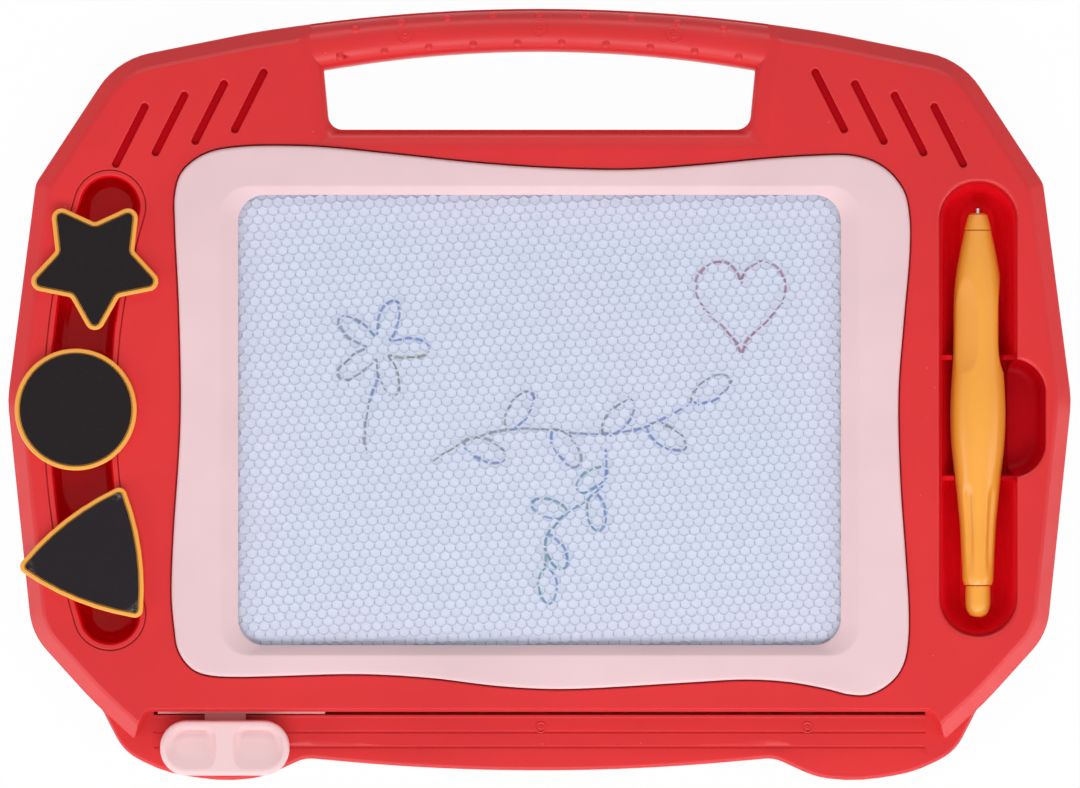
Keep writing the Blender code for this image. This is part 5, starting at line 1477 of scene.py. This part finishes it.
def cell_tint(centre, edge, marks, chance):
    """A cell's colour: cloudy, pinker and darker at the window's edge as painted bezel light and shade, and
    tinged by a mark on it.
    """
    warmth = 0.5 + 0.5 * noise.noise(Vector((centre.x, centre.y, 2)) / CLOUD_SIZE)
    # random cloud, and painted pink bounce light from the bezel towards the window's edge
    cloud_and_bounce = 0.55 * warmth + 2.4 * max(0.0, edge - 0.75)
    tint = mixed(PALE_CELL, PINK_CELL, min(1.0, cloud_and_bounce))
    # random tone, and painted shade under the bezel towards the window's edge
    tone_and_edge_shade = 0.5 * chance.random() + 3 * max(0.0, edge - 0.88)
    tint = mixed(tint, [c * 0.9 for c in tint], tone_and_edge_shade)
    if marks:
        tint = mixed(tint, marks[0][1], 0.04 + 0.1 * chance.random())
    return tint


def cell_rings(centre):
    """A cell's six corners, with jitter, and the twelve points of its bevelled opening."""
    outer = []
    for corner in CELL_CORNERS:
        spot = centre + corner
        shift = noise.noise_vector(Vector((spot.x, spot.y, 0)) / JITTER_SIZE)
        outer.append(spot + Vector((shift.x, shift.y)) * CELL_JITTER)
    spread = noise.noise(Vector((centre.x, centre.y, 1)) / SPREAD_SIZE)
    share = CELL_SHARE + CELL_SHARE_SPREAD * spread
    inner = []
    for k, spot in enumerate(outer):
        for end in (outer[k - 1], outer[(k + 1) % 6]):
            point = spot + (end - spot) * CELL_CORNER_SHARE
            inner.append(centre + (point - centre) * share)
    return outer, inner


def closed_below(mesh, z):
    """Welds a sheet's faces, and closes it with a skirt down to z and a bottom."""
    made = bmesh.new()
    made.from_mesh(mesh)
    bmesh.ops.remove_doubles(made, verts=made.verts, dist=HAIR)
    rim = [edge.link_loops[0] for edge in made.edges if edge.is_boundary]
    low = {loop.vert: made.verts.new((*loop.vert.co.xy, z)) for loop in rim}
    for loop in rim:  # made one by one, because extruded faces come in another order in each run
        after = loop.link_loop_next
        face = made.faces.new((after.vert, loop.vert, low[loop.vert], low[after.vert]), loop.face)
        for side, source in zip(face.loops, (after, loop, loop, after)):
            side.copy_from(source)
    bmesh.ops.holes_fill(made, edges=[edge for edge in made.edges if edge.is_boundary])
    made.to_mesh(mesh)
    made.free()


def cell_sheet(material):
    """Honeycomb of shallow cells on a base plate, with the powder's marks in some of them."""
    drawn = dashes()
    chance = random.Random(SEED)
    noise.seed_set(SEED)  # vector noise would otherwise be offset by the time of the run
    top, floor = CORE_TOP, CORE_TOP - CELL_DEPTH
    half_x, half_y = WINDOW_WIDTH / 2 + CELL_MARGIN, WINDOW_DEPTH / 2 + CELL_MARGIN
    verts, faces, colours = [], [], []

    def face(spots, colour):
        faces.append(list(range(len(verts), len(verts) + len(spots))))
        verts.extend(spots)
        colours.extend([colour] * len(spots))

    ribbons = []
    reach = int(max(half_x, half_y) / (2 * MM)) + 4
    for i in range(-reach, reach):
        for j in range(-reach, reach):
            centre = cell_centre(i, j)
            edge = max(abs(centre.x) / half_x, abs(centre.y - WINDOW_Y) / half_y)
            if edge > 1:
                continue
            outer, inner = cell_rings(centre)
            marks = drawn.get((i, j), [])
            tint = cell_tint(centre, edge, marks, chance)
            for k in range(6):
                a, b = inner[2 * k], inner[2 * k + 1]
                c, near, far = inner[(2 * k + 2) % 12], outer[k], outer[(k + 1) % 6]
                # painted shade: walls that run up and down the board are darker
                upright = abs((far - near).normalized().y)
                wall = mixed(CROSS_WALL, SHADED_UPRIGHT_WALL, upright ** 3)
                face([(*near, top), (*a, top), (*b, top)], mixed(CROSS_WALL, SHADED_UPRIGHT_WALL, 0.15))
                face([(*near, top), (*b, top), (*c, top), (*far, top)], wall)
            base = [centre + (p - centre) * CELL_BASE_SHARE for p in inner]
            core = [(*(centre + (p - centre) * CELL_CORE_SHARE), floor) for p in inner]
            for k in range(12):
                after = (k + 1) % 12
                face([(*inner[k], top), (*base[k], floor), (*base[after], floor), (*inner[after], top)],
                     mixed(tint, CROSS_WALL, 0.8))
            for k in range(12):
                after = (k + 1) % 12
                face([(*base[k], floor), core[k], core[after], (*base[after], floor)],
                     mixed(tint, CROSS_WALL, 0.14))
            face(core, tint)
            ribbons += [(run, colour, tint, centre) for run, colour in marks]
    mesh = bpy.data.meshes.new("cell_sheet")
    mesh.from_pydata(verts, [], faces)
    paint = mesh.color_attributes.new("tint", "FLOAT_COLOR", "CORNER")
    paint.data.foreach_set("color", [value for colour in colours for value in colour])
    closed_below(mesh, top - CORE_THICK / 2)
    sheet = bpy.data.objects.new("cell_sheet", mesh)
    bpy.context.scene.collection.objects.link(sheet)
    base = prism(panel_shape(0), top - CORE_THICK, top - CORE_THICK / 2 - HAIR)
    plate = settle(loft("cell_plate", base))
    marks = powder_marks(ribbons, floor, chance)
    dress(sheet, material, "housing", "screen_core", "screen_honeycomb")
    for piece in (plate, marks):
        dress(piece, material, "housing", "screen_core")


def powder_marks(ribbons, floor, chance):
    """Soft low mounds on the cells' floors, shifted a little in each cell."""
    made = bmesh.new()
    paint = made.loops.layers.float_color.new("tint")
    for run, colour, tint, centre in ribbons:
        shift = Vector((chance.uniform(-1, 1), chance.uniform(-1, 1))) * POWDER_SHIFT
        half = chance.uniform(*POWDER_HALF) * MM
        blob = chance.random() < BLOB_CHANCE
        strength = chance.uniform(*POWDER_STRENGTH)
        spots = []
        for spot in run:
            away = spot + shift - centre
            if away.length > POWDER_REACH:
                away *= POWDER_REACH / away.length
            if not spots or (centre + away - spots[-1]).length > 2 * HAIR:
                spots.append(centre + away)
        count = len(spots)
        if count < 3:
            continue
        rows = []
        for k, spot in enumerate(spots):
            along = spots[min(k + 1, count - 1)] - spots[max(k - 1, 0)]
            across = Vector((-along.y, along.x)).normalized()
            end = min(1.0, (k + 0.6) / 1.8, (count - k - 0.4) / 1.8)
            wide = half * (0.4 + 0.6 * end) * (BLOB_SWELL if blob and k < count / 3 else 1)
            row = [((*(spot + across * (s * wide)), floor + (3 + 2 * w) * HAIR), w * end)
                   for s, w in POWDER_LINE]
            row += [((*row[i][0][:2], floor - HAIR), 0.0) for i in (-1, 0)]
            rows.append([(made.verts.new(point), weight) for point, weight in row])
        faces = []
        for near, far in zip(rows, rows[1:]):
            for k in range(len(near)):
                faces.append((near[k - 1], near[k], far[k], far[k - 1]))
        for corners in faces + [rows[0], rows[-1]]:
            face = made.faces.new([vert for vert, _ in corners])
            for loop, (_, weight) in zip(face.loops, corners):
                loop[paint] = mixed(tint, colour, weight * strength)
    return new_object("powder_marks", made)


def film(material):
    """The clear film over the cells."""
    low = CORE_TOP + CLEAR
    line = fillet_line((0, low, 0), (0, low + SHEET_THICK, 0.1 * MM), (0.4 * MM, low + SHEET_THICK, 0))
    dress(settle(loft("clear_film", rings(panel_shape, line))), material, "housing", "screen_film",
          "screen_front_film")


# Materials


class Nodes:
    """Short calls for a material's nodes."""

    def __init__(self, name):
        self.material = bpy.data.materials.new(name)
        self.material.use_nodes = True
        self.tree = self.material.node_tree
        self.shader = self.tree.nodes["Principled BSDF"]
        self.output = self.tree.nodes["Material Output"]
        self.coords = self.add("ShaderNodeTexCoord").outputs["Object"]

    def add(self, kind, **values):
        node = self.tree.nodes.new(kind)
        for key, value in values.items():
            if hasattr(node, key):
                setattr(node, key, value)
            else:
                node.inputs[key.replace("_", " ")].default_value = value
        return node

    def link(self, source, target):
        self.tree.links.new(source, target)

    def surface(self, **values):
        """Sets the shader's own sockets, or links them where a value is a socket."""
        for key, value in values.items():
            socket = self.shader.inputs[key.replace("_", " ")]
            if isinstance(value, bpy.types.NodeSocket):
                self.link(value, socket)
            else:
                socket.default_value = value

    def noise(self, size, detail=2.0, roughness=0.5):
        """Noise whose largest spots are of a size, in metres."""
        node = self.add("ShaderNodeTexNoise", Scale=1 / size, Detail=detail, Roughness=roughness)
        self.link(self.coords, node.inputs["Vector"])
        return node.outputs["Fac"]

    def spread(self, value, low, high, to_low, to_high):
        """A value moved from one range to another."""
        node = self.add("ShaderNodeMapRange")
        for key, number in (("From Min", low), ("From Max", high), ("To Min", to_low), ("To Max", to_high)):
            node.inputs[key].default_value = number
        self.link(value, node.inputs["Value"])
        return node.outputs["Result"]

    def mix(self, factor, first, second):
        """A colour between two, each a colour or a socket."""
        node = self.add("ShaderNodeMix", data_type="RGBA")
        self.link(factor, node.inputs["Factor"])
        for socket, value in ((node.inputs[6], first), (node.inputs[7], second)):
            if isinstance(value, (list, tuple)):
                socket.default_value = value
            else:
                self.link(value, socket)
        return node.outputs[2]

    def bump(self, height, distance, strength, normal=None):
        node = self.add("ShaderNodeBump", Strength=strength, Distance=distance)
        self.link(height, node.inputs["Height"])
        if normal:
            self.link(normal, node.inputs["Normal"])
        return node.outputs["Normal"]


def moulded(name, colour, roughness, coat=0.0, grain=0.03 * MM, specks=0.0, gloss=0.5):
    """Moulded plastic: faint cloudy colour, fine grain, uneven gloss and a few pale specks."""
    nodes = Nodes(name)
    cloud = nodes.spread(nodes.noise(45 * MM, 3), 0.3, 0.7, 0, 1)
    darker, paler = ([min(1, c * share) for c in colour[:3]] + [1] for share in (0.95, 1.05))
    base = nodes.mix(cloud, darker, paler)
    if specks:
        dots = nodes.add("ShaderNodeTexVoronoi", Scale=1 / (9 * MM))
        nodes.link(nodes.coords, dots.inputs["Vector"])
        near = nodes.spread(dots.outputs["Distance"], 0.012, 0.03, specks, 0)
        base = nodes.mix(near, base, mixed(colour, [1, 1, 1, 1], 0.55))
    uneven = nodes.spread(nodes.noise(12 * MM, 4), 0.3, 0.7, roughness - 0.04, roughness + 0.05)
    fine = nodes.bump(nodes.noise(0.5 * MM, 3), grain, 0.25)
    soft = nodes.bump(nodes.noise(14 * MM, 1), 0.12 * MM, 0.12, fine)
    nodes.surface(Base_Color=base, Roughness=uneven, Specular_IOR_Level=gloss, Normal=soft,
                  Coat_Weight=coat, Coat_Roughness=0.12)
    nodes.material.diffuse_color = colour
    return nodes.material


def rubber(name, colour, wear=0.0):
    """Matt magnetic sheet with fine grain and dust, worn pale at its far corners."""
    nodes = Nodes(name)
    dust = nodes.spread(nodes.noise(0.8 * MM, 5, 0.7), 0.58, 0.85, 0, 0.2)
    base = nodes.mix(dust, colour, mixed(colour, [0.3, 0.3, 0.3, 1], 0.3))
    if wear:
        length = nodes.add("ShaderNodeVectorMath", operation="LENGTH")
        nodes.link(nodes.coords, length.inputs[0])
        far = nodes.spread(length.outputs["Value"], wear, wear * 1.13, 0, 1)
        patch = nodes.spread(nodes.noise(1.6 * MM, 6, 0.75), 0.47, 0.58, 0, 1)
        both = nodes.add("ShaderNodeMath", operation="MULTIPLY")
        nodes.link(far, both.inputs[0])
        nodes.link(patch, both.inputs[1])
        base = nodes.mix(both.outputs[0], base, srgb(128, 122, 122))
    grain = nodes.bump(nodes.noise(0.35 * MM, 4), 0.03 * MM, 0.3)
    nodes.surface(Base_Color=base, Roughness=0.62, Specular_IOR_Level=0.15, Normal=grain)
    nodes.material.diffuse_color = colour
    return nodes.material


def metal(name):
    """Plated steel with a faint cloudy tone."""
    nodes = Nodes(name)
    tone = nodes.mix(nodes.noise(2 * MM, 3), srgb(176, 178, 182), srgb(206, 208, 211))
    gloss = nodes.spread(nodes.noise(1 * MM, 3), 0.3, 0.7, 0.2, 0.36)
    nodes.surface(Base_Color=tone, Metallic=1, Roughness=gloss)
    return nodes.material


def celled(name):
    """Pale cells and powder, whose colours are painted on the mesh."""
    nodes = Nodes(name)
    paint = nodes.add("ShaderNodeVertexColor", layer_name="tint")
    grain = nodes.spread(nodes.noise(0.35 * MM, 3), 0.3, 0.7, 0, 1)
    shade = nodes.mix(grain, [0.96, 0.96, 0.965, 1], [1, 1, 1, 1])
    scale = nodes.add("ShaderNodeMix", data_type="RGBA", blend_type="MULTIPLY")
    scale.inputs["Factor"].default_value = 1
    nodes.link(paint.outputs["Color"], scale.inputs[6])
    nodes.link(shade, scale.inputs[7])
    nodes.surface(Base_Color=scale.outputs[2], Roughness=0.5)
    return nodes.material


def clear_film(name):
    """Clear film: see-through, with a gloss that grows towards grazing views."""
    nodes = Nodes(name)
    clear = nodes.add("ShaderNodeBsdfTransparent", Color=(1, 1, 1, 1))
    angle = nodes.add("ShaderNodeLayerWeight")
    steep = nodes.add("ShaderNodeMath", operation="POWER")
    steep.inputs[1].default_value = 4.0
    nodes.link(angle.outputs["Facing"], steep.inputs[0])
    share = nodes.spread(steep.outputs[0], 0, 1, 0.03, 0.4)
    mix = nodes.add("ShaderNodeMixShader")
    nodes.surface(Base_Color=srgb(222, 226, 240), Roughness=0.14)
    nodes.link(share, mix.inputs["Fac"])
    nodes.link(clear.outputs["BSDF"], mix.inputs[1])
    nodes.link(nodes.shader.outputs["BSDF"], mix.inputs[2])
    nodes.link(mix.outputs["Shader"], nodes.output.inputs["Surface"])
    return nodes.material


# Studio


def seen_directly(tree):
    """A value that is 1 for camera, glossy and transmission rays, and 0 for others."""
    light = tree.nodes.new("ShaderNodeLightPath")
    seen = light.outputs["Is Camera Ray"]
    for kind in ("Is Glossy Ray", "Is Transmission Ray"):
        both = tree.nodes.new("ShaderNodeMath")
        both.operation = "MAXIMUM"
        tree.links.new(seen, both.inputs[0])
        tree.links.new(light.outputs[kind], both.inputs[1])
        seen = both.outputs[0]
    return seen


def white_ground(name, share):
    """Floor that the camera sees nearly white, with the shadows that fall on it."""
    nodes = Nodes(name)
    nodes.surface(Base_Color=(0.9, 0.9, 0.9, 1), Roughness=0.8)
    glow = nodes.add("ShaderNodeEmission")
    mix = nodes.add("ShaderNodeMixShader")
    nodes.link(nodes.spread(seen_directly(nodes.tree), 0, 1, 0, share), mix.inputs["Fac"])
    nodes.link(nodes.shader.outputs["BSDF"], mix.inputs[1])
    nodes.link(glow.outputs["Emission"], mix.inputs[2])
    nodes.link(mix.outputs["Shader"], nodes.output.inputs["Surface"])
    return nodes.material


def studio():
    """Floor, soft lights round the board, pale world and the camera straight above."""
    made = bmesh.new()
    bmesh.ops.create_grid(made, x_segments=1, y_segments=1, size=FLOOR_SIZE)
    floor = new_object("floor", made)
    floor.location.z = -FLOOR_DROP
    floor.data.materials.append(white_ground("ground", GROUND_GLOW_SHARE))

    world = bpy.data.worlds.new("studio")
    world.use_nodes = True
    tree = world.node_tree
    background = tree.nodes["Background"]
    strength = tree.nodes.new("ShaderNodeMapRange")
    strength.inputs["To Min"].default_value = WORLD_STRENGTH
    strength.inputs["To Max"].default_value = 1.0
    tree.links.new(seen_directly(tree), strength.inputs["Value"])
    tree.links.new(strength.outputs["Result"], background.inputs["Strength"])
    background.inputs["Color"].default_value = (1, 1, 1, 1)
    bpy.context.scene.world = world

    for name, place, size, power, lights in LAMPS:
        lamp = bpy.data.lights.new(name, "AREA")
        lamp.shape = "RECTANGLE"
        lamp.size, lamp.size_y = size
        lamp.energy = power
        holder = bpy.data.objects.new(name, lamp)
        holder.location = place
        holder.rotation_euler = (-Vector(place)).to_track_quat("-Z", "Y").to_euler()
        holder.visible_camera = False
        holder.visible_diffuse = lights
        bpy.context.scene.collection.objects.link(holder)

    camera = bpy.data.cameras.new("camera")
    camera.sensor_width = SENSOR
    camera.lens = SENSOR * (CAMERA_HEIGHT - FACE_TOP) / VIEW_WIDTH
    camera.clip_end = CAMERA_REACH
    holder = bpy.data.objects.new("camera", camera)
    holder.location = (CAMERA_SHIFT, CAMERA_SHIFT, CAMERA_HEIGHT)
    bpy.context.scene.collection.objects.link(holder)
    bpy.context.scene.camera = holder
    bpy.context.scene.view_settings.view_transform = "Standard"


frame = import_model()

red = moulded("red_plastic", srgb(223, 47, 50), 0.38, coat=0.03, specks=0.25, gloss=0.3)
# painted shade for the inside of the pen well: a deeper, purer red
well_shaded_red = moulded("well_shaded_plastic", srgb(244, 18, 34), 0.42, gloss=0.1)
# painted shade for the finger scoop and the grooves: a darker red
deep_shaded_red = moulded("deep_shaded_plastic", srgb(188, 4, 20), 0.45, gloss=0.06)
red_back = moulded("red_back_plastic", srgb(205, 46, 50), 0.46, grain=0.05 * MM)
# glossy inside of the tray, whose purer red is painted shade
tray_shaded_red = moulded("tray_shaded_plastic", srgb(255, 10, 30), 0.14, grain=0.006 * MM, gloss=0.14)
pink = moulded("pink_plastic", srgb(240, 207, 211), 0.5, gloss=0.2)
knob_pink = moulded("knob_plastic", srgb(246, 210, 212), 0.45, gloss=0.25)
# painted shade: a duller pink for the carriage, which sits in the shadow of the slot
slide_shaded_pink = moulded("slide_shaded_plastic", srgb(228, 172, 172), 0.45, gloss=0.25)
pen_orange = moulded("pen_plastic", srgb(252, 168, 60), 0.32, coat=0.05, grain=0.01 * MM)
stamp_orange = moulded("stamp_plastic", srgb(250, 172, 62), 0.34, coat=0.1)
white = moulded("white_plastic", srgb(232, 232, 232), 0.5)
black = rubber("magnet_rubber", srgb(22, 16, 19))
worn = rubber("worn_rubber", srgb(28, 22, 26), 18.2 * MM)
steel = metal("plated_steel")
cells = celled("cell_plastic")

front_moulding(red, well_shaded_red, deep_shaded_red)
back_moulding(red_back)
screws(steel)
bezel_frame(pink)
tray_insert(red, tray_shaded_red)
stamps(stamp_orange, black, worn)
pen(pen_orange, steel)
knob(knob_pink)
cell_sheet(cells)
film(clear_film("film"))
# the carriage gets the duller pink of painted shade
for node, material in (("eraser_carriage", slide_shaded_pink), ("eraser_magnet", black),
                       ("screen_back_sheet", white)):
    for place in frame["nodes"][node].material_slots:
        place.material = material
studio()
